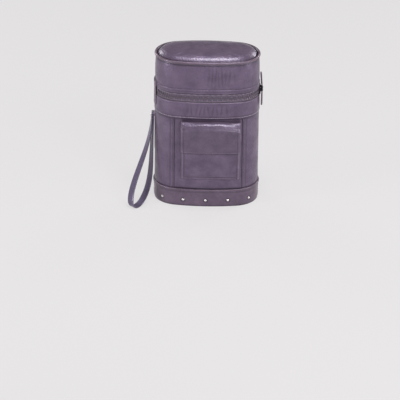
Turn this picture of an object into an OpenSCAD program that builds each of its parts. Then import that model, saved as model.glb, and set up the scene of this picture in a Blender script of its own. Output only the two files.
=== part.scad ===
// Poker chip case: an oval leather case with a zipped, side-hinged lid,
// a card pocket on each face, a wrist strap, four chip boxes and a chip tray.
// Millimetres. It stands on its base: +Z up, front pocket to -Y,
// lid hinge and strap to -X, zip sliders to +X.

/* [Case] */
// Width of the leather body, side to side
case_w = 180; // [150:1:216]
// Depth of the leather body, front to back, without the pockets
case_d = 96; // [84:1:116]
// How far the front and back bow out beyond the round ends
bow = 4; // [2:0.5:8]
// Height of the line where the zip parts
part_h = 207; // [172:1:250]
// Height of the strip left open for the zip
zip_h = 16; // [14.5:0.5:20]
// Height of the lid's side above the zip
lid_h = 56; // [46:1:66]
// Rise of the padded lid top above its rim
crown_h = 13; // [8:0.5:16]

/* [Walls] */
// Thickness of the leather skin
skin_t = 1.2; // [0.8:0.1:1.6]
// Thickness of the stiff board shell
shell_t = 2; // [1.5:0.1:3]
// Thickness of the cloth lining
lining_t = 0.8; // [0.5:0.1:1.2]
// Half of the gap between the lid and the body
part_gap = 0.3; // [0.2:0.05:0.5]

/* [Collar and base] */
// Height of the leather collar below the zip
collar_h = 31; // [24:1:38]
// Thickness of the collar
collar_t = 1.2; // [0.8:0.1:1.8]
// Height of the band round the base
base_h = 33; // [24:1:44]
// Thickness of the base band
base_t = 1.8; // [1.2:0.1:2.6]
// Thickness of the bottom board
board_t = 4; // [3:0.5:6]
// Number of studs round the base
stud_count = 12; // [8:2:18]
// Diameter of a stud's head
stud_d = 4.4; // [3:0.2:6]
// Height of the studs above the ground
stud_z = 12; // [7:1:20]

/* [Lid] */
// Thickness of the lid's top board
lid_board_t = 2; // [1.5:0.1:3]
// Radius of the piping round the rim
piping_r = 2.4; // [1.6:0.1:3]
// Height of the binding along the lid's lower edge
binding_h = 8; // [5:0.5:12]
// Thickness of that binding
binding_t = 1; // [0.6:0.1:1.6]

/* [Lid hinge] */
// Length of the leather hinge along the fold
hinge_w = 34; // [26:1:40]
// Thickness of a hinge leaf
leaf_t = 1.2; // [0.8:0.1:1.8]
// Height of each leaf over the collar or the lid
leaf_h = 20; // [12:1:26]
// Radius of the rolled fold
roll_r = 1.6; // [1.2:0.1:2.2]

/* [Zip] */
// Pitch of the teeth on one tape
zip_pitch = 4.4; // [3.6:0.2:6]
// Width of a tooth along the zip
tooth_w = 1.6; // [1.2:0.1:1.8]
// Height of a tooth's root
tooth_h = 4; // [3:0.5:5]
// How far a tooth stands out from the skin
tooth_out = 1.2; // [0.8:0.1:1.6]
// Angle between a slider and the middle of the right end
slider_a = 8; // [7.4:0.2:14]
// Angle that a slider spans
slider_span = 11; // [8:0.5:14]
// Thickness of a slider's plate
slider_t = 1.6; // [1.2:0.1:2.2]
// Radius of the bar that carries a pull
bar_r = 0.8; // [0.6:0.1:1.2]
// Length of a pull's leather tab
tab_len = 24; // [16:1:32]
// Width of a pull's leather tab
tab_w = 8; // [6:0.5:10]
// Thickness of a pull's leather tab
tab_t = 2.2; // [1.8:0.1:3]
// Lean of the standing pull towards the lid, degrees
pull_lean = 4; // [2:0.5:5]

/* [Pockets] */
// Width of a pocket
pocket_w = 102; // [82:1:108]
// Sideways offset of both pockets, away from the hinge
pocket_x = 8; // [-4:1:9]
// How far a pocket's lower edge sits above the base band
pocket_lift = 21; // [9:1:25]
// Gap between a flap's fold and the collar
pocket_clear = 4; // [2:0.5:20]
// How far a pocket stands out at its lower edge
pocket_low = 5; // [3:0.5:9]
// How far a pocket stands out at its mouth
pocket_out = 17; // [13:0.5:22]
// Thickness of the pocket's leather
pocket_t = 1.4; // [1:0.1:2]
// Radius of a pocket's lower corners
pocket_r = 3.5; // [2:0.5:10]
// Thickness of a flap
flap_t = 1.6; // [1.2:0.1:2.2]
// Height of a flap's fold above its pocket's mouth
flap_rise = 11; // [9:0.5:13]
// How far a flap hangs down over its pocket
flap_drop = 44; // [30:1:54]
// How far a flap reaches past each side of its pocket
flap_side = 0.6; // [0.2:0.1:2]
// Outer radius of a flap's bend
flap_r = 8.5; // [6:0.5:10]
// Radius of the roll that a flap turns on
welt_r = 0.8; // [0.6:0.1:1.2]

/* [Wrist strap] */
// Width of the strap
strap_w = 13; // [10:0.5:16]
// Thickness of the strap
strap_t = 2.2; // [1.6:0.1:3]
// How far the strap's rivet sits below the collar
strap_drop = 16; // [14:1:22]
// Width of the loop at its fullest, as laid out
loop_w = 67; // [50:1:80]
// How far the loop leans forward at its end
loop_lean = 32; // [20:1:44]
// Turn of the loop from the side towards the front
loop_turn = 46; // [20:2:60]
// Height of the loop's end above the ground
loop_z = 0.2; // [0.1:0.1:1]
// Length of the leather tab sewn under the strap
stay_h = 72; // [50:1:90]
// Width of that tab
stay_w = 16; // [12:1:20]
// Radius of the strap's rivet
rivet_r = 1.8; // [1.4:0.1:2.4]

/* [Chip boxes] */
// Width of a box
box_w = 26; // [20:1:28]
// Depth of a box, front to back
box_d = 36; // [26:1:37]
// Spacing of the boxes
box_pitch = 35; // [33:1:37]
// Height of the caps above the parting line
box_over = 16; // [10:1:22]
// Height of a cap's rim
cap_h = 5; // [3:0.5:8]
// Depth that a cap's plug goes into its box
plug_h = 7; // [4:0.5:9]
// Wall of a box
box_wall = 1.4; // [1:0.1:2]
// Radius of a box's upright edges
box_r = 3.5; // [2:0.5:5]

/* [Chip tray] */
// Pitch of the tray's grooves
groove_pitch = 30.6; // [26:0.2:32]
// Radius of a groove, half a chip and its play
groove_r = 14.6; // [12:0.1:15.2]
// Depth of the tray, front to back
tray_d = 31; // [27:0.5:33]
// Wall of the tray
tray_wall = 1.6; // [1.2:0.1:2.2]
// Height of the tray's end above the parting line
tray_over = 13; // [8:1:20]
// Depth of the open strip above the ribs between grooves
rib_drop = 6; // [3:0.5:9]

/* [Rack] */
// Thickness of the rack's board
rack_t = 1.5; // [1:0.1:2.2]
// Thickness of a padded divider between boxes
divider_t = 7; // [3:0.5:9]
// How far the rack stops below the parting line
rack_drop = 16; // [8:1:30]

/* [Hidden] */
$fn = 128;
half_d = case_d / 2;
end_r = half_d - bow;
end_c = case_w / 2 - end_r;
bow_r = (half_d * half_d + end_c * end_c - end_r * end_r) / (2 * bow);
bow_c = bow_r - half_d;
bow_a = asin(end_c / (bow_r - end_r));
end_a = 90 - bow_a;
shell_in = skin_t + shell_t;
wall = shell_in + lining_t;
collar_top = part_h - zip_h / 2;
collar_z = collar_top - collar_h;
lid_z = part_h + zip_h / 2;
rim_z = lid_z + lid_h;
floor_z = base_t + board_t + lining_t;
ceiling_z = rim_z - 1 - lid_board_t - lining_t;
// The fold stands on the outermost leather of the hinge.
leaf_out = max(collar_t, binding_t) + leaf_t;
fold_x = -case_w / 2 - leaf_out;
strap_z = collar_z - strap_drop;
tape_in = 0.3;
// The axis of a flap and the lie of its pocket's front panel.
flap_y = half_d + 3.4;
pocket_z = base_h + pocket_lift;
pocket_h = collar_z - pocket_clear - flap_rise - pocket_z;
mouth_z = pocket_z + pocket_h;
fold_z = mouth_z + flap_rise;
slant = atan((pocket_out - pocket_low) / pocket_h);
flap_gap = 0.5;
bar_out = tooth_out + 0.35 + slider_t + 0.4 + 2;
tray_half = groove_pitch + groove_r + tray_wall + 0.5;
plate_half = tray_half + 1.1;
tray_back = half_d - wall - bow_r + wall + sqrt(pow(bow_r - wall, 2) - pow(plate_half, 2)) - 0.9;
tray_rim = tray_back - tray_d;
panel_y = -tray_rim + 1;
box_y = panel_y + rack_t + 1.2;
tray_top = part_h + tray_over;
box_top = part_h + box_over;

// Plan outline of the case, moved in by t: two bowed sides and two round ends.
module oval(t = 0) {
    r = bow_r - t;
    reach = end_c * r / (bow_r - end_r);
    intersection() {
        translate([0, bow_c]) circle(r = r);
        translate([0, -bow_c]) circle(r = r);
        square([2 * reach, 2 * case_d], center = true);
    }
    for (s = [-1, 1]) {
        translate([s * end_c, 0]) circle(r = end_r - t);
    }
}

// A wall that follows the outline, between the insets t0 and t1.
module ring(t0, t1, z0, z1) {
    translate([0, 0, z0]) linear_extrude(z1 - z0) difference() {
        oval(t0);
        oval(t1);
    }
}

module plate(t, z0, z1) {
    translate([0, 0, z0]) linear_extrude(z1 - z0) oval(t);
}

// Cuts the left end of the outline over the hinge's length.
module hinge_zone(w, z0, z1) {
    translate([-case_w, -w / 2, z0]) cube([case_w / 2 + end_c / 2, w, z1 - z0]);
}

module rounded(w, d, r) {
    square([w - 2 * r, d], center = true);
    square([w, d - 2 * r], center = true);
    for (sx = [-1, 1]) {
        for (sy = [-1, 1]) {
            translate([sx * (w / 2 - r), sy * (d / 2 - r)]) circle(r = r, $fn = 48);
        }
    }
}

// Arc lengths of the outline moved out by o, and the point at length s from the right end.
function end_len(o) = (end_r + o) * end_a * PI / 180;
function bow_len(o) = (bow_r + o) * 2 * bow_a * PI / 180;
function round_len(o) = 4 * end_len(o) + 2 * bow_len(o);
function turn_at(s, o) =
    let(e = end_len(o), b = bow_len(o), re = end_r + o, rb = bow_r + o)
    s < e ? s / re * 180 / PI
    : s < e + b ? end_a + (s - e) / rb * 180 / PI
    : s < 3 * e + b ? 180 - end_a + (s - e - b) / re * 180 / PI
    : s < 3 * e + 2 * b ? 180 + end_a + (s - 3 * e - b) / rb * 180 / PI
    : 360 - end_a + (s - 3 * e - 2 * b) / re * 180 / PI;
function centre_at(s, o) =
    let(e = end_len(o), b = bow_len(o))
    s < e || s >= 3 * e + 2 * b ? [end_c, 0]
    : s < e + b ? [0, -bow_c]
    : s < 3 * e + b ? [-end_c, 0]
    : [0, bow_c];
function radius_at(s, o) =
    centre_at(s, o)[1] == 0 ? end_r + o : bow_r + o;
function wrap(s, o) = s - floor(s / round_len(o)) * round_len(o);

// Puts its children on the outline, with local X along the outward normal.
module on_oval(s, o = 0) {
    w = wrap(s, o);
    translate(centre_at(w, o)) rotate([0, 0, turn_at(w, o)]) translate([radius_at(w, o), 0]) children();
}

// Body of the case

module base_board() {
    color("#3a332e") plate(shell_in, base_t, base_t + board_t);
}

module body_shell() {
    color("#6b5b48") ring(skin_t, shell_in, base_t, part_h - part_gap);
}

module body_skin() {
    color("#5c5262") ring(0, skin_t, base_t, collar_top);
}

module body_lining() {
    color("#2a2730") {
        plate(shell_in, base_t + board_t, floor_z);
        ring(shell_in, wall, floor_z, part_h - part_gap);
    }
}

// Leather bottom that the case stands on.
module base_panel() {
    color("#4c4350") plate(0, 0, base_t);
}

module base_band() {
    color("#544a5a") ring(-base_t, 0, 0, base_h);
}

// Domed stud heads, spaced evenly along the outline.
module base_studs() {
    rise = stud_d * 0.3;
    ball = (stud_d * stud_d / 4 + rise * rise) / (2 * rise);
    color("#c9c6c2") for (i = [0 : stud_count - 1]) {
        on_oval((i + 0.5 * (stud_count / 2 % 2)) * round_len(base_t) / stud_count, base_t) {
            translate([0, 0, stud_z]) rotate([0, 90, 0]) intersection() {
                translate([0, 0, rise - ball]) sphere(r = ball, $fn = 48);
                cylinder(r = stud_d / 2, h = 2 * rise, $fn = 48);
            }
        }
    }
}

module collar() {
    color("#5a505f") ring(-collar_t, 0, collar_z, collar_top);
}

// Zip

module zip_tape(z0, z1) {
    color("#1d1a1f") difference() {
        ring(tape_in, skin_t, z0, z1);
        hinge_zone(hinge_w, z0 - 1, z1 + 1);
    }
}

module zip_tape_lower() {
    zip_tape(collar_top, part_h - part_gap);
}

module zip_tape_upper() {
    zip_tape(part_h + part_gap, lid_z);
}

// One row of teeth; up = 1 points up and up = -1 points down, half a pitch along.
module zip_teeth(up) {
    gap = hinge_w / 2 + 3;
    run = round_len(0) - 2 * gap;
    count = floor(run / zip_pitch);
    step = run / count;
    color("#26232a") for (i = [0 : count - 1]) {
        on_oval(round_len(0) / 2 + gap + (i + (up > 0 ? 0.25 : 0.75)) * step) {
            translate([0, 0, part_h]) scale([1, 1, up]) {
                translate([-tape_in, -tooth_w / 2, -tooth_h - 0.6]) {
                    cube([tooth_out + tape_in, tooth_w, tooth_h]);
                }
                translate([0.05, -tooth_w / 2, -0.7]) cube([tooth_out - 0.05, tooth_w, 2.1]);
            }
        }
    }
}

module zip_teeth_lower() {
    zip_teeth(1);
}

module zip_teeth_upper() {
    zip_teeth(-1);
}

// Slider in its own frame: the turning axis of the right end is local Z.
module slider() {
    r0 = end_r + tooth_out + 0.35;
    r1 = r0 + slider_t;
    bar = end_r + bar_out;
    low = part_h - tooth_h - 2.6;
    color("#3b3a3e") {
        rotate([0, 0, -slider_span / 2]) rotate_extrude(angle = slider_span) {
            translate([r0, low]) square([slider_t, part_h + tooth_h + 1 - low]);
            translate([end_r + 0.05, low]) square([r0 - end_r, 1.6]);
        }
        for (s = [-1, 1]) {
            translate([r1 - 0.6, s * 3.1 - 0.6, part_h - 1.6]) cube([bar - r1 + 1.9, 1.2, 3.2]);
        }
        translate([bar, -3.2, part_h]) rotate([-90, 0, 0]) cylinder(r = bar_r, h = 6.4, $fn = 32);
    }
}

// Sets its children on a slider's bar; up = 1 stands up and leans on the lid, up = -1 hangs down.
module on_bar(up) {
    lean = up > 0 ? -pull_lean : 0;
    translate([end_r + bar_out, 0, part_h]) rotate([0, lean, 0]) scale([1, 1, up]) children();
}

// Metal eye and tongue of a pull.
module pull(up) {
    color("#3b3a3e") on_bar(up) difference() {
        union() {
            translate([0, -2.1, 0]) rotate([-90, 0, 0]) cylinder(r = 2, h = 4.2, $fn = 40);
            translate([-0.5, -2.1, 0]) cube([1, 4.2, 9]);
        }
        translate([0, -3, 0]) rotate([-90, 0, 0]) cylinder(r = bar_r + 0.25, h = 6, $fn = 40);
    }
}

// Leather tab sewn round the pull's tongue.
module pull_tab(up) {
    color("#4c4350") on_bar(up) difference() {
        translate([-tab_t / 2, 0, 0]) rotate([90, 0, 90]) linear_extrude(tab_t) {
            translate([-tab_w / 2, 4.4]) square([tab_w, tab_len - tab_w / 2]);
            translate([0, 4.4 + tab_len - tab_w / 2]) circle(r = tab_w / 2, $fn = 48);
        }
        translate([-0.5, -2.1, 0]) cube([1, 4.2, 9]);
    }
}

module at_slider(side) {
    translate([end_c, 0, 0]) rotate([0, 0, side * slider_a]) children();
}

module zip_slider_front() {
    at_slider(-1) slider();
}

module zip_pull_front() {
    at_slider(-1) pull(-1);
}

module zip_tab_front() {
    at_slider(-1) pull_tab(-1);
}

module zip_slider_rear() {
    at_slider(1) slider();
}

module zip_pull_rear() {
    at_slider(1) pull(1);
}

module zip_tab_rear() {
    at_slider(1) pull_tab(1);
}

// Lid

module lid_shell() {
    color("#6b5b48") {
        ring(skin_t, shell_in, part_h + part_gap, rim_z - 1);
        plate(shell_in, rim_z - 1 - lid_board_t, rim_z - 1);
    }
}

module lid_skin() {
    color("#5c5262") ring(0, skin_t, lid_z, rim_z - 1);
}

module lid_lining() {
    color("#2a2730") {
        ring(shell_in, wall, part_h + part_gap, ceiling_z);
        plate(shell_in, ceiling_z, rim_z - 1 - lid_board_t);
    }
}

// Point of the outline at step i of n, moved in by t.
function rim_point(i, n, t) =
    let(s = wrap(i / n * round_len(0), 0), a = turn_at(s, 0))
    centre_at(s, 0) + (radius_at(s, 0) - t) * [cos(a), sin(a)];

// Padded top: it swells from the piping to a flat crown.
module lid_pad() {
    edge = piping_r + 0.9;
    reach = end_r - edge - 4;
    around = 80;
    levels = 8;
    rings = concat(
        [[edge, 0]],
        [for (j = [0 : levels]) let(x = j / levels)
            [edge + reach * x, 1 + crown_h * pow(1 - pow(1 - x, 2.4), 0.8)]]
    );
    points = [for (r = rings) for (i = [0 : around - 1]) concat(rim_point(i, around, r[0]), r[1])];
    walls = [
        for (j = [0 : len(rings) - 2])
            for (i = [0 : around - 1])
                let(a = j * around + i, b = j * around + (i + 1) % around)
                each [[a, b + around, b], [a, a + around, b + around]]
    ];
    top = (len(rings) - 1) * around;
    caps = [[for (i = [0 : around - 1]) i], [for (i = [around - 1 : -1 : 0]) top + i]];
    color("#5c5262") translate([0, 0, rim_z - 1]) polyhedron(points, concat(walls, caps), convexity = 4);
}

// Piping: a round cord carried along the rim.
module lid_piping() {
    around = 96;
    sides = 10;
    points = [
        for (i = [0 : around - 1])
            for (j = [0 : sides - 1])
                let(a = j * 360 / sides)
                concat(rim_point(i, around, 0.6 - piping_r * cos(a)), piping_r * sin(a))
    ];
    walls = [
        for (i = [0 : around - 1])
            for (j = [0 : sides - 1])
                let(a = i * sides, b = (i + 1) % around * sides, k = (j + 1) % sides)
                each [[a + j, b + k, b + j], [a + j, a + k, b + k]]
    ];
    color("#6a6070") translate([0, 0, rim_z - 1 + piping_r]) polyhedron(points, walls, convexity = 6);
}

module lid_binding() {
    color("#5a505f") ring(-binding_t, 0, lid_z, lid_z + binding_h);
}

// Leather hinge

// One leaf: it fills the zip's strip and laps over the leather beyond it.
// Its edge is hollowed for the roll, with the given play.
module leaf(z0, z1, lap0, lap1, under, play) {
    color("#544a5a") difference() {
        intersection() {
            union() {
                ring(-leaf_out, skin_t, z0, z1);
                ring(-leaf_out, -under, lap0, lap1);
            }
            hinge_zone(hinge_w - 1, lap0 - 99, lap1 + 99);
        }
        translate([fold_x, -hinge_w, part_h]) rotate([-90, 0, 0]) {
            cylinder(r = roll_r + play, h = 2 * hinge_w, $fn = 48);
        }
    }
}

module hinge_leaf_lower() {
    leaf(collar_top, part_h - part_gap, collar_top - leaf_h, collar_top, collar_t, 0.15);
}

module hinge_leaf_upper() {
    leaf(part_h + part_gap, lid_z, lid_z, lid_z + binding_h, binding_t, 0.4);
}

// The rolled fold, which lies in the body's leaf and which the lid turns on.
module hinge_roll() {
    len = hinge_w - 10;
    color("#463d4b") translate([fold_x, -len / 2, part_h]) rotate([-90, 0, 0]) {
        cylinder(r = roll_r, h = len, $fn = 48);
    }
}

// Pockets

// Sets its children on the front (-1) or the rear (1) face; local +Y points out of that face.
module on_face(side) {
    if (side > 0) {
        children();
    } else {
        mirror([0, 1, 0]) children();
    }
}

// Wedge of a pocket, grown by g; local +Y out of the face.
module wedge(g, top) {
    lean = (pocket_out - pocket_low) / pocket_h;
    intersection() {
        translate([pocket_x - pocket_w / 2 - g, 0, 0]) rotate([90, 0, 90]) {
            linear_extrude(pocket_w + 2 * g) polygon([
                [half_d - 2 * bow - 6, pocket_z - g],
                [half_d + pocket_low + g - lean * g, pocket_z - g],
                [half_d + pocket_low + g + lean * (top - pocket_z), top],
                [half_d - 2 * bow - 6, top]
            ]);
        }
        translate([pocket_x, case_d, pocket_z + pocket_h]) rotate([90, 0, 0]) linear_extrude(case_d) {
            rounded(pocket_w + 2 * g, 2 * pocket_h + 2 * g, pocket_r + g);
        }
    }
}

module pocket(side) {
    color("#5c5262") on_face(side) difference() {
        wedge(0, mouth_z);
        wedge(-pocket_t, mouth_z + 5);
        plate(-0.1, 0, part_h);
    }
}

// Fixed part of a flap's fold: the roll and the strip sewn to the case.
module welt(side) {
    len = pocket_w + 2 * flap_side;
    color("#463d4b") on_face(side) difference() {
        union() {
            translate([pocket_x - len / 2, flap_y, fold_z]) rotate([0, 90, 0]) {
                cylinder(r = welt_r, h = len, $fn = 32);
            }
            translate([pocket_x - len / 2, half_d - 2 * bow - 4, fold_z - 0.5]) {
                cube([len, flap_y - half_d + 2 * bow + 4, 1]);
            }
        }
        plate(-0.1, 0, part_h);
    }
}

// Flap in section: Y outwards, Z up; it turns on the welt's roll.
module flap_section() {
    face = half_d + pocket_low;
    mid_x = flap_gap + flap_t - flap_r;
    top = fold_z + flap_t / 2;
    mid_y = (top - flap_r - pocket_z + mid_x * sin(slant)) / cos(slant);
    bend = [face + mid_x * cos(slant) + mid_y * sin(slant), top - flap_r];
    low = (mouth_z - flap_drop - pocket_z) / cos(slant);
    run = [sin(slant), cos(slant)];
    out = [cos(slant), -sin(slant)];
    hem = [face, pocket_z] + low * run;
    turns = [for (i = [0 : 12]) 90 - i / 12 * (90 + slant)];
    polygon(concat(
        [[flap_y + welt_r + 0.6, top]],
        [for (a = turns) bend + flap_r * [cos(a), sin(a)]],
        [hem + (flap_gap + flap_t) * out, hem + flap_gap * out],
        [for (i = [12 : -1 : 0]) bend + (flap_r - flap_t) * [cos(turns[i]), sin(turns[i])]],
        [[flap_y + welt_r + 0.6, top - flap_t]]
    ));
}

// Half-round eye of the flap's fold, over the welt's roll.
module flap_eye() {
    eye = welt_r + 1.3;
    difference() {
        circle(r = eye, $fn = 48);
        circle(r = welt_r + 0.3, $fn = 48);
        translate([-2 * eye, -2 * eye]) square([2 * eye + 1, 4 * eye]);
    }
}

module flap(side) {
    len = pocket_w + 2 * flap_side;
    color("#5f5565") on_face(side) intersection() {
        translate([pocket_x - len / 2, 0, 0]) rotate([90, 0, 90]) union() {
            linear_extrude(len) flap_section();
            translate([flap_y, fold_z, 0]) linear_extrude(len) flap_eye();
        }
        translate([pocket_x, 2 * case_d, fold_z + 20]) rotate([90, 0, 0]) linear_extrude(2 * case_d) {
            rounded(len, 2 * (fold_z + 20 - mouth_z + flap_drop), pocket_r);
        }
    }
}

module front_pocket() {
    pocket(-1);
}

module rear_pocket() {
    pocket(1);
}

module front_welt() {
    welt(-1);
}

module rear_welt() {
    welt(1);
}

module front_flap() {
    flap(-1);
}

module rear_flap() {
    flap(1);
}

// Wrist strap

module strap_stay() {
    top = strap_z + 10;
    color("#544a5a") difference() {
        intersection() {
            ring(-skin_t, 0, top - stay_h, top);
            hinge_zone(stay_w, 0, part_h);
        }
        translate([-case_w, 0, strap_z]) rotate([0, 90, 0]) cylinder(r = rivet_r, h = case_w, $fn = 40);
    }
}

// Rivet: its shank runs from the skin through the strap's two ends.
module strap_rivet() {
    reach = skin_t + 2 * strap_t + 1.4;
    color("#8d8a88") translate([-case_w / 2, 0, strap_z]) rotate([0, -90, 0]) {
        cylinder(r = rivet_r, h = reach, $fn = 40);
        translate([0, 0, reach]) intersection() {
            cylinder(r = 2 * rivet_r, h = 1.4, $fn = 48);
            translate([0, 0, 1.4 - 5 * rivet_r]) sphere(r = 5 * rivet_r, $fn = 96);
        }
    }
}

// The strap's line: u runs from the outer end at 0, round the loop, to the inner end at 360.
function sunk(u) = (1 - cos(u)) / 2;
function aside(u) = 90 - loop_turn * pow(sunk(u), 0.7);
function spread(u) = loop_w / 2 * (1 + sin(u)) * pow(sin(u / 2), 4.2);
function strap_mid(u) =
    let(p = sunk(u), a = aside(u), s = spread(u))
    let(lap = (strap_t + 0.4) * (1 + cos(u / 2)) / 2, turned = strap_w / 2 * cos(a))
    [
        -case_w / 2 - skin_t - 0.4 - strap_t / 2 - lap - turned - s * sin(a),
        -loop_lean * pow(p, 1.1) - s * cos(a),
        strap_z - (strap_z - loop_z - strap_t / 2) * p
    ];
function unit(v) = v / norm(v);
function strap_run(u) =
    u <= 0 || u >= 360 ? [0, 0, u <= 0 ? -1 : 1] : unit(strap_mid(u + 1) - strap_mid(u - 1));
function strap_side(u) =
    let(a = aside(u), w = [cos(a), -sin(a), 0], t = strap_run(u))
    unit(w - (w * t) * t);
function strap_face(u) = unit(cross(strap_run(u), strap_side(u)));
function strap_ring(u, rise) =
    let(m = strap_mid(u) + [0, 0, rise], w = strap_side(u) * strap_w / 2, f = strap_face(u) * strap_t / 2)
    [m - w - f, m + w - f, m + w + f, m - w + f];

module wrist_strap() {
    steps = 64;
    end = 6.5;
    flat = rivet_r + 1;
    rings = concat(
        [strap_ring(0, end), strap_ring(0, -flat)],
        [for (i = [4 : steps - 4]) strap_ring(i * 360 / steps, 0)],
        [strap_ring(360, -flat), strap_ring(360, end)]
    );
    n = len(rings);
    points = [for (r = rings) each r];
    walls = [
        for (i = [0 : n - 2])
            for (j = [0 : 3])
                let(a = 4 * i + j, b = 4 * i + (j + 1) % 4)
                each [[a, a + 4, b + 4], [a, b + 4, b]]
    ];
    last = 4 * (n - 1);
    caps = [[0, 1, 2], [0, 2, 3], [last, last + 2, last + 1], [last, last + 3, last + 2]];
    color("#5a4f63") difference() {
        polyhedron(points, concat(walls, caps), convexity = 6);
        translate([-case_w, 0, strap_z]) rotate([15, 0, 0]) rotate([0, 90, 0]) {
            cylinder(r = rivet_r + 0.35, h = case_w, $fn = 12);
        }
    }
}

// Inside

// Folded board: a panel between tray and boxes, dividers, end walls and tray guides.
module box_rack() {
    top = part_h - rack_drop;
    h = top - floor_z;
    reach = end_c + sqrt(pow(end_r - wall, 2) - pow(panel_y, 2)) - 1;
    side = 1.5 * box_pitch + box_w / 2 + 1;
    depth = box_d + 0.5;
    guide = plate_half + 1;
    color("#242028") translate([0, 0, floor_z]) linear_extrude(h) {
        translate([-reach, panel_y]) square([2 * reach, rack_t]);
        for (i = [-1 : 1]) {
            translate([i * box_pitch - divider_t / 2, panel_y + rack_t - 0.1]) square([divider_t, depth]);
        }
        for (s = [0, 1]) {
            mirror([s, 0]) {
                translate([side, panel_y + rack_t - 0.1]) square([rack_t, depth - 8]);
                translate([guide, panel_y - tray_d + 5]) square([rack_t, tray_d - 4.9]);
            }
        }
    }
}

// Tray of three grooves, open to the rear, with a plate at each end.
module chip_tray() {
    mid = -tray_back + tray_wall + groove_r;
    rim = -tray_rim;
    rib = rim - rib_drop;
    z0 = floor_z + 0.3;
    color("#17161a") {
        translate([0, 0, z0]) linear_extrude(tray_top - z0) difference() {
            union() {
                for (i = [-1 : 1]) {
                    translate([i * groove_pitch, mid]) circle(r = groove_r + tray_wall, $fn = 96);
                }
                translate([-tray_half, mid]) square([2 * tray_half, rim - mid]);
            }
            for (i = [-1 : 1]) {
                translate([i * groove_pitch, mid]) circle(r = groove_r, $fn = 96);
                translate([i * groove_pitch - groove_r, mid]) square([2 * groove_r, tray_d]);
            }
            translate([tray_wall - tray_half, rib]) square([2 * (tray_half - tray_wall), tray_d]);
        }
        for (z = [z0, tray_top - 2.2]) {
            translate([-plate_half, -tray_back, z]) cube([2 * plate_half, tray_d, 2.2]);
        }
    }
}

// Chip box, open at the top; n counts from the hinge.
function box_x(n) = (n - 2.5) * box_pitch;

module at_box(n) {
    translate([box_x(n), box_y + box_d / 2, 0]) children();
}

module chip_box(n) {
    z0 = floor_z + 0.3;
    top = box_top - cap_h;
    color("#17161a") at_box(n) difference() {
        translate([0, 0, z0]) linear_extrude(top - z0) rounded(box_w, box_d, box_r);
        translate([0, 0, z0 + box_wall]) linear_extrude(top) {
            rounded(box_w - 2 * box_wall, box_d - 2 * box_wall, box_r - box_wall);
        }
    }
}

// Cap with a plug that goes down into its box.
module box_cap(n) {
    play = 0.35;
    fit_w = box_w - 2 * box_wall - 2 * play;
    fit_d = box_d - 2 * box_wall - 2 * play;
    top = box_top - cap_h;
    color("#1d1c21") at_box(n) difference() {
        union() {
            translate([0, 0, top + 0.05]) linear_extrude(cap_h - 1) rounded(box_w, box_d, box_r);
            translate([0, 0, top + cap_h - 1]) linear_extrude(1) {
                rounded(box_w - 1.6, box_d - 1.6, box_r - 0.8);
            }
            translate([0, 0, top - plug_h]) linear_extrude(plug_h + 1) {
                rounded(fit_w, fit_d, box_r - box_wall);
            }
        }
        translate([0, 0, top - plug_h - 1]) linear_extrude(plug_h + cap_h - 0.8) {
            rounded(fit_w - 2 * box_wall, fit_d - 2 * box_wall, 0.6);
        }
    }
}

module chip_box_1() {
    chip_box(1);
}

module chip_box_2() {
    chip_box(2);
}

module chip_box_3() {
    chip_box(3);
}

module chip_box_4() {
    chip_box(4);
}

module box_cap_1() {
    box_cap(1);
}

module box_cap_2() {
    box_cap(2);
}

module box_cap_3() {
    box_cap(3);
}

module box_cap_4() {
    box_cap(4);
}

base_panel();
base_board();
body_shell();
body_skin();
body_lining();
base_band();
base_studs();
collar();
zip_tape_lower();
zip_teeth_lower();
hinge_leaf_lower();
hinge_roll();
front_pocket();
front_welt();
front_flap();
rear_pocket();
rear_welt();
rear_flap();
strap_stay();
strap_rivet();
wrist_strap();
box_rack();
lid_shell();
lid_skin();
lid_lining();
lid_pad();
lid_piping();
lid_binding();
zip_tape_upper();
zip_teeth_upper();
hinge_leaf_upper();
zip_slider_front();
zip_pull_front();
zip_tab_front();
zip_slider_rear();
zip_pull_rear();
zip_tab_rear();
chip_tray();
chip_box_1();
chip_box_2();
chip_box_3();
chip_box_4();
box_cap_1();
box_cap_2();
box_cap_3();
box_cap_4();
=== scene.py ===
"""Looks of an oval leather poker chip case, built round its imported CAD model."""
import logging
import math
from bisect import bisect_left
from dataclasses import dataclass, field
from enum import Enum
from itertools import accumulate, pairwise
from typing import Callable, Iterable, Sequence

import bmesh
import bpy
from mathutils import Matrix, Vector, noise
from mathutils.bvhtree import BVHTree


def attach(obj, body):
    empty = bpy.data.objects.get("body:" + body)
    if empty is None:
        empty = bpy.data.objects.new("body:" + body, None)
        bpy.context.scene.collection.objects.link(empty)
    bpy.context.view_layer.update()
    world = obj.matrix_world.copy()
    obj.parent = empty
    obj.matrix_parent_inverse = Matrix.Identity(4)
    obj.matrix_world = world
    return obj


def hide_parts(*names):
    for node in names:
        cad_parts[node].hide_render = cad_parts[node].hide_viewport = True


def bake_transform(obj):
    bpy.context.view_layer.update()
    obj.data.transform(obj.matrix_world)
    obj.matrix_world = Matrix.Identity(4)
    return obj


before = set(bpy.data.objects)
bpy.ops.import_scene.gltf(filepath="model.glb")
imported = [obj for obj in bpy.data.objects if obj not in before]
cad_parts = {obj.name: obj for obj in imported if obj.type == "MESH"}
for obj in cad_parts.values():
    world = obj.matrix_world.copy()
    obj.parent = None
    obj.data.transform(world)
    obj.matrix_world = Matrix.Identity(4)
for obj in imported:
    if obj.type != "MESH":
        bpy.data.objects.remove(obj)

LOG = logging.getLogger("chip_case")
MM = 0.001
MERGE = 0.01
# Points are merged in their order along this line, so that every run merges the same ones.
MERGE_ALONG = Vector((1.0, 0.618, 0.377))
CLEAR = 0.02
LEAST_RUN = 0.5
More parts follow.
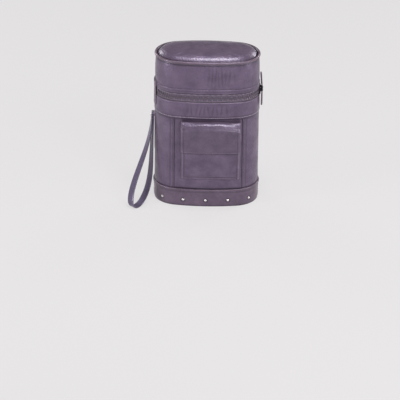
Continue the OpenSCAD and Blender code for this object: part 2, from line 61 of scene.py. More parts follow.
# Sockets of a Mix node that mixes colours.
MIX_A, MIX_B, MIX_OUT = 6, 7, 2
BMesh = bmesh.types.BMesh
Material = bpy.types.Material
Tree = bpy.types.NodeTree
AtPoint = Callable[[Vector], float]


class Face(Enum):
    """The two flat faces of the case that carry a pocket."""

    FRONT = -1
    REAR = 1


class Row(Enum):
    """The two halves of the zip."""

    LOWER = -1
    UPPER = 1


# Finishes


def linear(code: str) -> tuple[float, float, float, float]:
    """Turns an sRGB hex colour into linear light.

    Args:
        code: A colour such as "#5c5163".

    Returns:
        Linear red, green, blue and an alpha of 1.
    """
    parts = [int(code[i:i + 2], 16) / 255 for i in (1, 3, 5)]
    out = [p / 12.92 if p <= 0.04045 else ((p + 0.055) / 1.055) ** 2.4 for p in parts]
    return out[0], out[1], out[2], 1.0


def per_metre(size_mm: float) -> float:
    """Texture scale at which one cell of a pattern has the given size."""
    return 1.0 / (size_mm * MM)


def wire(tree: Tree, node: bpy.types.Node, values: dict | None, links: dict | None) -> None:
    """Sets a shader node's inputs.

    Args:
        tree: The material's node tree.
        node: The node.
        values: Input name or index to a fixed value.
        links: Input name or index to the socket, or the node's first socket, that feeds it.
    """
    for key, value in (values or {}).items():
        node.inputs[key].default_value = value
    for key, source in (links or {}).items():
        socket = source.outputs[0] if isinstance(source, bpy.types.Node) else source
        tree.links.new(socket, node.inputs[key])


def add_node(
    tree: Tree, kind: str, values: dict | None = None, links: dict | None = None, **settings: object,
) -> bpy.types.Node:
    """Adds a shader node with its settings, values and links.

    Args:
        tree: The material's node tree.
        kind: The node's type name, without the ShaderNode prefix.
        values: Fixed values, as in wire.
        links: Links, as in wire.
        settings: Attributes of the node itself.

    Returns:
        The new node.
    """
    made = tree.nodes.new("ShaderNode" + kind)
    for key, value in settings.items():
        setattr(made, key, value)
    wire(tree, made, values, links)
    return made


def new_material(name: str) -> tuple[Material, Tree, bpy.types.Node]:
    """Starts a node material.

    Args:
        name: The material's name.

    Returns:
        The material, its tree and its shader.
    """
    made = bpy.data.materials.new(name)
    made.use_nodes = True
    return made, made.node_tree, made.node_tree.nodes["Principled BSDF"]


@dataclass(frozen=True)
class Leather:
    """Embossed and lacquered cowhide: pebbles with fine creases between, glossy on the crowns."""

    name: str
    colour: str
    shade: str
    # Paler, pinkish colour of convex edges: partly rubbed wear, partly painted highlight.
    edge: str
    # Colour of the painted shade in hollows, seams and grooves.
    crease: str = "#1a141a"
    pebble_mm: float = 2.6
    pore_mm: float = 0.8
    cloud_mm: float = 22.0
    gloss: tuple[float, float] = (0.29, 0.45)
    depth_mm: float = 0.95
    coat: float = 0.15
    sheen: str = "#e8d9ff"

    def build(self) -> Material:
        """Makes the node material.

        Returns:
            The material.
        """
        made, tree, skin = new_material(self.name)
        where = add_node(tree, "TexCoord").outputs["Object"]
        cloud = add_node(
            tree, "TexNoise", {"Scale": per_metre(self.cloud_mm), "Detail": 4.0, "Roughness": 0.6},
            {"Vector": where},
        )
        tone = add_node(tree, "MapRange", {"From Min": 0.36, "From Max": 0.66}, {"Value": cloud})
        body = add_node(
            tree, "Mix", {MIX_A: linear(self.colour), MIX_B: linear(self.shade)}, {0: tone},
            data_type="RGBA",
        )
        # Painted shade and highlight: hollows, and the points that the mesh marks, are painted in the shade
        # colour, as where shade falls; convex edges are painted paler and pinkish, partly rubbed wear and
        # partly painted highlight.
        ridge = add_node(tree, "NewGeometry").outputs["Pointiness"]
        hollow_shade = add_node(
            tree, "MapRange", {"From Min": 0.49, "From Max": 0.44, "To Max": 0.75}, {"Value": ridge},
        )
        seam = add_node(tree, "Attribute", attribute_name="painted_shade_and_dirt").outputs["Fac"]
        painted_shade_and_dirt = add_node(tree, "Math", None, {0: hollow_shade, 1: seam}, operation="MAXIMUM")
        shaded_colour = add_node(
            tree, "Mix", {MIX_B: linear(self.crease)}, {0: painted_shade_and_dirt, MIX_A: body.outputs[MIX_OUT]},
            data_type="RGBA",
        )
        # Convex edges painted paler: partly rubbed wear, partly painted highlight.
        edge_wear_and_highlight = add_node(
            tree, "MapRange", {"From Min": 0.515, "From Max": 0.6, "To Max": 0.6}, {"Value": ridge},
        )
        rubbed = add_node(
            tree, "Mix", {MIX_B: linear(self.edge)}, {0: edge_wear_and_highlight, MIX_A: shaded_colour.outputs[MIX_OUT]},
            data_type="RGBA",
        )
        # Embossed pebbles, drawn a little coarse so that they show at arm's length.
        pebble = add_node(
            tree, "TexVoronoi", {"Scale": per_metre(self.pebble_mm)}, {"Vector": where},
            feature="SMOOTH_F1",
        )
        pore = add_node(
            tree, "TexNoise", {"Scale": per_metre(self.pore_mm), "Detail": 3.0}, {"Vector": where},
        )
        relief = add_node(
            tree, "Math", {1: 0.25}, {0: pore, 2: pebble.outputs["Distance"]}, operation="MULTIPLY_ADD",
        )
        bump = add_node(
            tree, "Bump", {"Strength": 0.5, "Distance": self.depth_mm * MM}, {"Height": relief},
            invert=True,
        )
        polish = add_node(
            tree, "MapRange",
            {"From Min": 0.3, "From Max": 0.7, "To Min": self.gloss[0], "To Max": self.gloss[1]},
            {"Value": cloud},
        )
        wire(
            tree, skin,
            {
                "IOR": 1.5, "Specular IOR Level": 0.7, "Specular Tint": linear(self.sheen),
                "Coat Weight": self.coat, "Coat Roughness": 0.22,
            },
            {"Base Color": rubbed.outputs[MIX_OUT], "Roughness": polish, "Normal": bump},
        )
        return made


@dataclass(frozen=True)
class Cloth:
    """Woven or napped cloth: threads crossing at a real spacing, dull, with a little sheen."""

    name: str
    colour: str
    shade: str
    # Colour of the painted shade on the cloth.
    crease: str = "#151015"
    thread_mm: float = 0.9
    fuzz_mm: float = 3.0
    depth_mm: float = 0.2
    sheen: float = 0.3
    open_weave: float = 1.0

    def build(self) -> Material:
        """Makes the node material.

        Returns:
            The material.
        """
        made, tree, skin = new_material(self.name)
        where = add_node(tree, "TexCoord").outputs["Object"]
        # A wave of scale s repeats every 1 / (20 s) of a metre. The threads are drawn about twice as
        # coarse as real ones, so that they show.
        beat = per_metre(self.thread_mm) / 20
        rows = [
            add_node(
                tree, "TexWave", {"Scale": beat, "Distortion": 0.4, "Detail": 1.0}, {"Vector": where},
                wave_type="BANDS", bands_direction=way,
            ).outputs["Fac"]
            for way in ("Z", "DIAGONAL")
        ]
        crossed = add_node(tree, "Math", None, dict(enumerate(rows)), operation="MULTIPLY")
        weave = add_node(tree, "Math", {1: self.open_weave}, {0: crossed}, operation="MULTIPLY")
        fuzz = add_node(
            tree, "TexNoise", {"Scale": per_metre(self.fuzz_mm), "Detail": 5.0}, {"Vector": where},
        )
        mixed = add_node(tree, "Math", {1: 0.5}, {0: fuzz, 2: weave}, operation="MULTIPLY_ADD")
        tint = add_node(
            tree, "Mix", {MIX_A: linear(self.shade), MIX_B: linear(self.colour)}, {0: mixed},
            data_type="RGBA",
        )
        bump = add_node(
            tree, "Bump", {"Strength": 0.6, "Distance": self.depth_mm * MM}, {"Height": weave},
        )
        # Painted shade, as marked on the points of the mesh, such as along the zip tape's sewn edges.
        seam = add_node(tree, "Attribute", attribute_name="painted_shade_and_dirt").outputs["Fac"]
        shaded_colour = add_node(
            tree, "Mix", {MIX_B: linear(self.crease)}, {0: seam, MIX_A: tint.outputs[MIX_OUT]},
            data_type="RGBA",
        )
        wire(
            tree, skin, {"Roughness": 0.85, "Sheen Weight": self.sheen},
            {"Base Color": shaded_colour.outputs[MIX_OUT], "Normal": bump},
        )
        return made


@dataclass(frozen=True)
class Moulded:
    """Injection-moulded or plated hard stuff: a faint ripple, and fine rubbing in the gloss."""

    name: str
    colour: str
    shade: str
    metallic: float = 0.0
    gloss: tuple[float, float] = (0.12, 0.24)
    ripple_mm: float = 14.0
    rub_mm: float = 1.2
    depth_mm: float = 0.03

    def build(self) -> Material:
        """Makes the node material.

        Returns:
            The material.
        """
        made, tree, skin = new_material(self.name)
        where = add_node(tree, "TexCoord").outputs["Object"]
        ripple = add_node(
            tree, "TexNoise", {"Scale": per_metre(self.ripple_mm), "Detail": 2.0}, {"Vector": where},
        )
        rub = add_node(
            tree, "TexNoise", {"Scale": per_metre(self.rub_mm), "Detail": 4.0, "Roughness": 0.7},
            {"Vector": where},
        )
        tint = add_node(
            tree, "Mix", {MIX_A: linear(self.colour), MIX_B: linear(self.shade)}, {0: rub},
            data_type="RGBA",
        )
        polish = add_node(
            tree, "MapRange",
            {"From Min": 0.35, "From Max": 0.7, "To Min": self.gloss[0], "To Max": self.gloss[1]},
            {"Value": rub},
        )
        bump = add_node(
            tree, "Bump", {"Strength": 0.4, "Distance": self.depth_mm * MM}, {"Height": ripple},
        )
        wire(
            tree, skin, {"Metallic": self.metallic},
            {"Base Color": tint.outputs[MIX_OUT], "Roughness": polish, "Normal": bump},
        )
        return made


@dataclass(frozen=True)
class Finishes:
    """Every finish of the case, made once."""

    # Embossed cowhide: a dusky pebble that glints on its crowns, with painted shade in its creases.
    hide: Material = field(
        default_factory=Leather("grained_cowhide", "#594b5e", "#473a4c", "#9a8a9c").build)
    # The same hide where hands have polished it, on the pad and the flaps: broader, wetter glints.
    rubbed_hide: Material = field(default_factory=Leather(
        "hand_rubbed_cowhide", "#564859", "#443849", "#9a8a9c", gloss=(0.3, 0.46), coat=0.3, depth_mm=1.0,
    ).build)
    # Shaved leather for edges and tabs: nearly smooth, so that light runs along it in lines.
    trim: Material = field(default_factory=Leather(
        "smooth_trim_leather", "#5a4b59", "#483b47", "#9a8690", pebble_mm=2.0, depth_mm=0.25,
    ).build)
    # Waxed strap leather: smooth, and a little bluer than the case.
    strap: Material = field(default_factory=Leather(
        "strap_leather", "#534c61", "#453e51", "#8f849f", pebble_mm=1.6, depth_mm=0.15, gloss=(0.24, 0.38),
    ).build)
    # Pale twisted thread: dull, light dashes.
    thread: Material = field(
        default_factory=Cloth("sewing_thread", "#b5a9b8", "#8e8292", thread_mm=0.5).build)
    # Thread in the leather's own colour: it shows only as small bumps.
    dark_thread: Material = field(
        default_factory=Cloth("dark_sewing_thread", "#5d5162", "#463b4a", thread_mm=0.5).build)
    # Twill tape: slanting ribs, dull beside the leather.
    tape: Material = field(
        default_factory=Cloth("zip_tape_twill", "#7c6e82", "#594d5d", thread_mm=0.8).build)
    # Brushed lining: soft and dark, with a pale bloom at a low angle.
    nap: Material = field(default_factory=Cloth(
        "napped_lining", "#343039", "#201d23", thread_mm=1.0, sheen=0.5, open_weave=0.15,
    ).build)
    # Board covered in cloth: flat and dark, with a coarse weave.
    board: Material = field(
        default_factory=Cloth("covered_board", "#282329", "#1c181d", thread_mm=1.4, sheen=0.2).build)
    # Moulded acetal: an even, waxy gleam.
    teeth: Material = field(
        default_factory=Moulded("acetal_zip_teeth", "#5c5160", "#443b47", gloss=(0.3, 0.45)).build)
    # Gunmetal plating: dark metal with soft, smoky reflections.
    gunmetal: Material = field(default_factory=Moulded(
        "gunmetal_plating", "#4a464d", "#38343a", metallic=1.0, gloss=(0.28, 0.42),
    ).build)
    # Nickel plating: pale metal, dulled a little by rubbing.
    nickel: Material = field(default_factory=Moulded(
        "nickel_plating", "#efeceb", "#d8d3d1", metallic=1.0, gloss=(0.3, 0.42),
    ).build)
    # Moulded styrene: deep black with sharp highlights.
    black: Material = field(default_factory=Moulded("moulded_black_styrene", "#141416", "#1d1d20").build)


# Mesh helpers


def settle(bm: BMesh, reach: float = MERGE) -> None:
    """Merges doubled points and turns every face outwards.

    Args:
        bm: The mesh, in millimetres.
        reach: How far apart two points may be and still count as one.
    """
    bm.verts.sort(key=lambda v: v.co.dot(MERGE_ALONG))
    bmesh.ops.remove_doubles(bm, verts=bm.verts, dist=reach)
    bmesh.ops.recalc_face_normals(bm, faces=bm.faces)


def refine(bm: BMesh, longest: float) -> None:
    """Halves edges until none is longer than the given length.

    Args:
        bm: The mesh, in millimetres.
        longest: The longest edge to leave.
    """
    most_rounds = 9
    for _ in range(most_rounds):
        long = [e for e in bm.edges if e.calc_length() > longest]
        if not long:
            return
        bmesh.ops.subdivide_edges(bm, edges=long, cuts=1, use_grid_fill=True)


def edges_along(bm: BMesh, axis: int) -> list[bmesh.types.BMEdge]:
    """Edges that run along an axis: 0 for X, 1 for Y or 2 for Z."""
    return [e for e in bm.edges if abs(e.verts[0].co[axis] - e.verts[1].co[axis]) > LEAST_RUN]


def bevel(
    bm: BMesh, geom: list, radius: float, segments: int, affect: str = "EDGES", clamp: bool = False,
) -> None:
    """Rounds edges or corners.

    Args:
        bm: The mesh.
        geom: The edges or vertices to round.
        radius: Width of the bevel.
        segments: Number of faces across the bevel.
        affect: "EDGES" or "VERTICES".
        clamp: Whether a bevel stops where it meets another.
    """
    bmesh.ops.bevel(
        bm, geom=geom, offset=radius, offset_type="OFFSET", segments=segments, profile=0.5,
        affect=affect, material=-1, clamp_overlap=clamp,
    )


def round_edges(bm: BMesh, radius: float, least_turn: float = 50.0, segments: int = 3) -> None:
    """Bevels the edges that turn more than an angle.

    Args:
        bm: The mesh.
        radius: Width of the bevel.
        least_turn: Angle in degrees above which an edge is rounded.
        segments: Number of faces across the bevel.
    """
    sharp = [e for e in bm.edges if e.is_manifold and e.calc_face_angle(0.0) > math.radians(least_turn)]
    bevel(bm, sharp, radius, segments, clamp=True)


def score(bm: BMesh, axis: int, places: Iterable[float]) -> None:
    """Cuts a mesh across an axis, so that a narrow line there can be shaped and shaded.

    Args:
        bm: The mesh.
        axis: 0 for X, 1 for Y or 2 for Z.
        places: Where to cut.
    """
    across = Matrix.Identity(3)[axis]
    for at in places:
        bmesh.ops.bisect_plane(
            bm, geom=[*bm.verts, *bm.edges, *bm.faces], dist=1e-3, plane_co=across * at, plane_no=across,
        )


def cut_up(bm: BMesh, pitch: float) -> None:
    """Cuts a mesh evenly across all three axes, so that its broad faces can bend.

    Args:
        bm: The mesh.
        pitch: About how far apart the cuts are.
    """
    for axis in range(3):
        places = [v.co[axis] for v in bm.verts]
        low, span = min(places), max(places) - min(places)
        count = round(span / pitch)
        score(bm, axis, [low + span * i / count for i in range(1, count)])


def near(value: float, at: float, width: float) -> float:
    """One at a place, falling smoothly to nothing within two widths of it."""
    return math.exp(-((value - at) / width) ** 2)


def within(value: float) -> float:
    """Keeps a share between nothing and the whole."""
    return min(max(value, 0.0), 1.0)


def share_of(value: float, start: float, end: float) -> float:
    """How far a value has come from start to end, from 0 to 1."""
    return within((value - start) / (end - start))


def unevenness(p: Vector, size: float, amount: float) -> float:
    """A gentle, repeatable unevenness of hand-laid leather."""
    return amount * noise.noise(p / size)


def block(low: Sequence[float], high: Sequence[float]) -> BMesh:
    """A box between two corners.

    Args:
        low: Lowest corner.
        high: Highest corner.

    Returns:
        The mesh.
    """
    bm = bmesh.new()
    bmesh.ops.create_cube(bm, size=1.0)
    bmesh.ops.scale(bm, vec=Vector(high) - Vector(low), verts=bm.verts)
    bmesh.ops.translate(bm, vec=(Vector(high) + Vector(low)) / 2, verts=bm.verts)
    return bm


def add_object(name: str, bm: BMesh, finish: Material) -> bpy.types.Object:
    """Makes an object of a mesh, which is freed.

    Args:
        name: The object's name.
        bm: The mesh.
        finish: The material.

    Returns:
        The new object, at the origin.
    """
    mesh = bpy.data.meshes.new(name)
    bm.to_mesh(mesh)
    bm.free()
    mesh.materials.append(finish)
    made = bpy.data.objects.new(name, mesh)
    bpy.context.scene.collection.objects.link(made)
    return made


def carry(made: bpy.types.Object, body: str, *nodes: str) -> None:
    """Lets a piece move with a body and stand for CAD nodes.

    Args:
        made: The piece.
        body: The body.
        nodes: The CAD nodes that it stands for.
    """
    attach(made, body)
    if nodes:
        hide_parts(*nodes)


def piece(
    name: str,
    bm: BMesh,
    finish: Material,
    slot: str,
    body: str | None,
    *nodes: str,
    crisp: float = 38.0,
    painted_shade_and_dirt: AtPoint | None = None,
) -> bpy.types.Object:
    """Turns a mesh in millimetres into a shaded piece in metres.

    Args:
        name: The piece's name.
        bm: The mesh, which is freed.
        finish: The material.
        slot: The record's material slot; not used.
        body: The body that carries the piece, or None to leave it unattached.
        nodes: The CAD nodes that the piece stands for.
        crisp: Angle in degrees above which an edge stays sharp.
        painted_shade_and_dirt: Says of a point how far its colour is painted darker, from 0 to 1, mostly
            painted shade in seams, grooves, hollows and under edges.

    Returns:
        The new object.
    """
    # The painted shade is stored on the points, for the shader to darken the colour by.
    if painted_shade_and_dirt:
        layer = bm.verts.layers.float.new("painted_shade_and_dirt")
        for v in bm.verts:
            v[layer] = within(painted_shade_and_dirt(v.co))
    bmesh.ops.scale(bm, vec=(MM, MM, MM), verts=bm.verts)
    for f in bm.faces:
        f.smooth = True
    for e in bm.edges:
        e.smooth = not e.is_manifold or e.calc_face_angle(0.0) < math.radians(crisp)
    made = add_object(name, bm, finish)
    if body:
        carry(made, body, *nodes)
    LOG.info("%s: %d faces", name, len(made.data.polygons))
    return made


def bake(made: bpy.types.Object) -> None:
    """Applies an object's modifiers to its mesh.

    Args:
        made: The object.
    """
    graph = bpy.context.evaluated_depsgraph_get()
    graph.update()
    old, mesh = made.data, bpy.data.meshes.new_from_object(made.evaluated_get(graph))
    made.modifiers.clear()
    made.data = mesh
    bpy.data.meshes.remove(old)


def stuff(made: bpy.types.Object, voxel: float, pressure: float, most: float, held: float) -> None:
    """Swells a closed cover with cloth simulation, as filling does.

    Args:
        made: The cover, slightly smaller than it ends.
        voxel: Size of the mesh that is simulated, in millimetres.
        pressure: Pressure inside.
        most: How far a point may move, in millimetres.
        held: Height in millimetres below which the cover is sewn down.
    """
    last_step = 20
    name = made.data.name
    grid = made.modifiers.new("grid", "REMESH")
    grid.mode = "VOXEL"
    grid.voxel_size = voxel * MM
    bake(made)
    start = [v.co.copy() for v in made.data.vertices]
    sewn = made.vertex_groups.new(name="sewn")
    sewn.add([i for i, c in enumerate(start) if c.z / MM < held], 1.0, "ADD")
    cover = made.modifiers.new("cover", "CLOTH").settings
    cover.use_pressure = True
    cover.uniform_pressure_force = pressure
    cover.effector_weights.gravity = 0.0
    cover.vertex_group_mass = "sewn"
    for step in range(1, last_step + 1):
        bpy.context.scene.frame_set(step)
    bake(made)
    bpy.context.scene.frame_set(1)
    made.vertex_groups.clear()
    for v, c in zip(made.data.vertices, start):
        gone = v.co - c
        if gone.length > most * MM:
            v.co = c + gone.normalized() * most * MM
    made.data.name = name
    for f in made.data.polygons:
        f.use_smooth = True
    smooth = made.modifiers.new("smooth", "SUBSURF")
    smooth.levels = smooth.render_levels = 1


def dress(finish: Material, *nodes: str) -> None:
    """Gives CAD nodes that stay in view a finish.

    Args:
        finish: The material.
        nodes: The names of the nodes.
    """
    for node in nodes:
        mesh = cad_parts[node].data
        mesh.materials.clear()
        mesh.materials.append(finish)


# Outline


@dataclass(frozen=True)
class Outline:
    """Plan outline of the case: two bowed faces and two round ends, in millimetres."""

    width: float = 180.0
    depth: float = 96.0
    bow: float = 4.0
    lining_in: float = 3.2
    lining_t: float = 0.8

    @property
    def end_r(self) -> float:
        """Radius of the round ends."""
        return self.depth / 2 - self.bow

    @property
    def end_c(self) -> float:
        """Distance of an end's centre from the middle."""
        return self.width / 2 - self.end_r

    @property
    def bow_r(self) -> float:
        """Radius of the bowed faces."""
        half = self.depth / 2
        return (half ** 2 + self.end_c ** 2 - self.end_r ** 2) / (2 * self.bow)

    @property
    def bow_c(self) -> float:
        """Distance of a bowed face's centre behind the middle."""
        return self.bow_r - self.depth / 2

    @property
    def bow_a(self) -> float:
        """Half the angle of a bowed face."""
        return math.asin(self.end_c / (self.bow_r - self.end_r))

    def arcs(self) -> list[tuple[Vector, float, float]]:
        """The arcs of the outline.

        Returns:
            Centre, angle and radius of each arc, anticlockwise from the middle of the right end.
        """
        end_a, bow_a = math.pi / 2 - self.bow_a, 2 * self.bow_a
        right, left = Vector((self.end_c, 0, 0)), Vector((-self.end_c, 0, 0))
        return [
            (right, end_a, self.end_r),
            (Vector((0, -self.bow_c, 0)), bow_a, self.bow_r),
            (left, 2 * end_a, self.end_r),
            (Vector((0, self.bow_c, 0)), bow_a, self.bow_r),
            (right, end_a, self.end_r),
        ]

    @property
    def length(self) -> float:
        """Length once round."""
        return sum(angle * radius for _, angle, radius in self.arcs())

    def at(self, s: float, out: float, z: float) -> Vector:
        """Point at length s from the middle of the right end.

        Args:
            s: Length along the outline, anticlockwise.
            out: Distance outside the outline.
            z: Height.

        Returns:
            The point.
        """
        s %= self.length
        turned = 0.0
        for centre, angle, radius in self.arcs():
            if s <= angle * radius + 1e-9:
                a = turned + s / radius
                return centre + Vector(((radius + out) * math.cos(a), (radius + out) * math.sin(a), z))
            s -= angle * radius
            turned += angle
        return self.at(0.0, out, z)

    def left_end(self, x: float, out: float, z: float) -> Vector:
        """Point on the left end, at length x from its middle."""
        return self.at(self.length / 2 + x, out, z)

    def arc_beside(self, p: Vector) -> tuple[Vector, float]:
        """Finds the arc that a point is beside.

        Args:
            p: The point.

        Returns:
            The arc's centre, at the point's own height, and its radius.
        """
        if math.atan2(abs(p.y), abs(p.x) - self.end_c) <= math.pi / 2 - self.bow_a:
            return Vector((math.copysign(self.end_c, p.x), 0, p.z)), self.end_r
        return Vector((0, -math.copysign(self.bow_c, p.y), p.z)), self.bow_r

    def normal(self, p: Vector) -> Vector:
        """Outward direction at a point near the outline."""
        return (p - self.arc_beside(p)[0]).normalized()

    def outside(self, p: Vector) -> float:
        """Distance of a point outside the outline."""
        centre, radius = self.arc_beside(p)
        return (p - centre).length - radius

    def half_depth(self, x: float) -> float:
        """Distance of the bowed face from the middle plane at x.

        Args:
            x: Place along the width.

        Returns:
            The distance.
        """
        edge = self.end_c + self.end_r * math.sin(self.bow_a)
        if abs(x) <= edge:
            return math.sqrt(self.bow_r ** 2 - x * x) - self.bow_c
        return math.sqrt(max(self.end_r ** 2 - (abs(x) - self.end_c) ** 2, 0.0))

    def sweep(self, bm: BMesh, step: float) -> None:
        """Spins a profile that stands at the right end once round the outline.

        Args:
            bm: A mesh that holds only the profile.
            step: Length of a step along the outline.
        """
        geom: list = [*bm.verts, *bm.edges]
        for centre, angle, radius in self.arcs():
            done = bmesh.ops.spin(
                bm, geom=geom, cent=centre, axis=(0, 0, 1), angle=angle,
                steps=max(3, round(angle * radius / step)), use_merge=False, use_duplicate=False,
            )
            geom = done["geom_last"]
        settle(bm)

    def band(
        self, inner: float, outer: float, low: float, high: float,
        rows: int, edge: float, step: float = 2.0,
    ) -> BMesh:
        """A band round the outline.

        Args:
            inner: Inner face, measured outwards from the outline.
            outer: Outer face, measured outwards from the outline.
            low: Lower edge.
            high: Upper edge.
            rows: Rows of faces on the outer face.
            edge: Radius of the rounded edges.
            step: Length of a face along the outline.

        Returns:
            The mesh.
        """
        bm = bmesh.new()
        corners = [(outer, low), (outer, high), (inner, high), (inner, low)]
        verts = [bm.verts.new((self.width / 2 + o, 0, z)) for o, z in corners]
        edges = [bm.edges.new((verts[i], verts[(i + 1) % 4])) for i in range(4)]
        bmesh.ops.subdivide_edges(bm, edges=edges[:1], cuts=rows - 1)
        self.sweep(bm, step)
        if edge > 0:
            round_edges(bm, edge)
        return bm

    def plate(self, inset: float, low: float, high: float, step: float = 3.0) -> BMesh:
        """A flat plate inside the outline.

        Args:
            inset: Distance of its edge inside the outline.
            low: Its underside.
            high: Its upper side.
            step: Length of a face along its edge.

        Returns:
            The mesh.
        """
        bm = bmesh.new()
        ends = [bm.verts.new((self.width / 2 - inset, 0, z)) for z in (low, high)]
        bm.edges.new(ends)
        self.sweep(bm, step)
        bmesh.ops.edgeloop_fill(bm, edges=[e for e in bm.edges if e.is_boundary])
        settle(bm)
        return bm

    def lining(self, low: float, high: float, flat: float, rows: int) -> BMesh:
        """Lining of the wall, with a flat sheet that closes one end.

        Args:
            low: Lower edge.
            high: Upper edge.
            flat: Underside of the flat sheet.
            rows: Rows of faces on the wall.

        Returns:
            The mesh.
        """
        inner = -self.lining_in - self.lining_t
        bm = self.band(inner, -self.lining_in, low, high, rows, edge=0.25, step=3.0)
        sheet = self.plate(self.lining_in, flat, flat + self.lining_t)
        mesh = bpy.data.meshes.new("sheet")
        sheet.to_mesh(mesh)
        sheet.free()
        bm.from_mesh(mesh)
        bpy.data.meshes.remove(mesh)
        return bm

    def lay_on_left_end(self, bm: BMesh) -> None:
        """Wraps a flat mesh on the left end.

        Args:
            bm: The mesh; its X becomes length from the end's middle, and its Y distance outwards.
        """
        for v in bm.verts:
            v.co = self.left_end(*v.co)
        settle(bm)

    def push(self, bm: BMesh, move: AtPoint) -> None:
        """Moves points along the outward normal.

        Args:
            bm: The mesh.
            move: Says of a point how far it moves.
        """
        for v in bm.verts:
            v.co += self.normal(v.co) * move(v.co)
        settle(bm)

    def loop(self, out: float, z: float, step: float = 1.0) -> list[Vector]:
        """Points once round the outline."""
        count = round(self.length / step)
        return [self.at(i * self.length / count, out, z) for i in range(count + 1)]


@dataclass(frozen=True)
class Crease:
    """A soft fold in the leather on one face, in millimetres."""

    face: Face
    x: float
    depth: float
    width: float
    low: float
    high: float
    lean: float

    def at(self, p: Vector) -> float:
        """How far the fold moves a point inwards.

        Args:
            p: The point.

        Returns:
            The distance.
        """
        if p.y * self.face.value <= 0 or not self.low < p.z < self.high:
            return 0.0
        share = (p.z - self.low) / (self.high - self.low)
        middle = self.x + self.lean * (share - 0.5)
        return self.depth * near(p.x, middle, self.width) * math.sin(math.pi * share) ** 0.7


@dataclass(frozen=True)
class Folds:
    """The creases of a leather band, each as its x, depth, width, lower end, upper end and lean."""

    front: tuple[tuple[float, ...], ...]
    rear: tuple[tuple[float, ...], ...]
    creases: list[Crease] = field(init=False, default_factory=list)

    def __post_init__(self) -> None:
        """Makes the creases."""
        for face, rows in ((Face.FRONT, self.front), (Face.REAR, self.rear)):
            self.creases.extend(Crease(face, *row) for row in rows)

    def at(self, p: Vector) -> float:
        """How far the folds move a point inwards."""
        return sum(crease.at(p) for crease in self.creases)


COLLAR_FOLDS = Folds(
    front=(
        (-33, 0.52, 1.6, 170, 196, 2), (-26, 0.68, 1.5, 169, 196, -2), (-17, 0.6, 1.7, 171, 197, 4),
        (-11, 0.75, 1.5, 169, 194, 5), (-4, 0.6, 1.4, 172, 197, 3), (3, 0.75, 1.6, 169, 196, -4),
        (11, 0.68, 1.5, 170, 197, 5), (18, 0.6, 1.4, 172, 196, -2), (26, 0.75, 1.7, 169, 197, 3),
        (35, 0.52, 1.5, 170, 195, -3),
    ),
    rear=(
        (-30, 0.6, 1.7, 169, 196, -2), (-19, 0.52, 1.5, 171, 197, 4), (-8, 0.75, 1.6, 169, 196, 3),
        (6, 0.6, 1.5, 170, 197, -4), (17, 0.68, 1.6, 169, 195, -2),
    ),
)
LID_FOLDS = Folds(
    front=(
        (-37, 0.38, 2.2, 230, 262, 3), (3, 0.52, 1.6, 228, 262, 4), (9, 0.68, 1.5, 222, 266, 2),
        (15, 0.75, 1.6, 224, 268, 3), (20, 0.6, 1.4, 220, 262, -2), (26, 0.75, 1.7, 224, 267, -3),
        (32, 0.6, 1.5, 222, 264, 3), (39, 0.68, 1.6, 226, 266, 4), (47, 0.45, 1.8, 230, 262, -3),
    ),
    rear=(
        (-33, 0.6, 1.7, 226, 264, -3), (-22, 0.68, 1.6, 224, 266, 3), (-13, 0.52, 1.5, 228, 262, -2),
        (4, 0.6, 1.6, 226, 262, 3), (12, 0.68, 1.5, 224, 266, -4), (33, 0.52, 1.8, 224, 264, 4),
    ),
)


@dataclass(frozen=True)
class Stitching:
    """Rows of lock stitches, laid on a surface, in millimetres."""

    pitch: float = 3.6
    length: float = 2.6
    girth: float = 0.62
    proud: float = 0.12

    def on(self, bm: BMesh, *paths: Sequence[Vector]) -> BMesh:
        """Sews along paths.

        Args:
            bm: The surface that the stitches lie on.
            paths: Lines of points near the surface.

        Returns:
            The thread's mesh.
        """
        thread, ground = bmesh.new(), BVHTree.FromBMesh(bm)
        for path in paths:
            travelled, due = 0.0, self.pitch / 2
            for a, b in pairwise(path):
                span = (b - a).length
                while span > 0 and travelled + span >= due:
                    spot, up, _, _ = ground.find_nearest(a.lerp(b, (due - travelled) / span))
                    due += self.pitch
                    self._stitch(thread, spot, up, (b - a).normalized())
                travelled += span
        return thread

    def _stitch(self, thread: BMesh, spot: Vector, up: Vector, run: Vector) -> None:
        """Lays one stitch.

        Args:
            thread: The mesh that takes the stitch.
            spot: Its place on the surface.
            up: The surface's normal there.
            run: Direction of the row.
        """
        along = (run - up * run.dot(up)).normalized()
        turn = Matrix((along, up.cross(along), up)).transposed().to_4x4()
        size = Matrix.Diagonal((self.length, self.girth, self.girth, 1.0))
        place = Matrix.Translation(spot + up * self.girth * self.proud) @ turn @ size
        bmesh.ops.create_uvsphere(thread, u_segments=6, v_segments=4, radius=0.5, matrix=place)


# Sub-assemblies


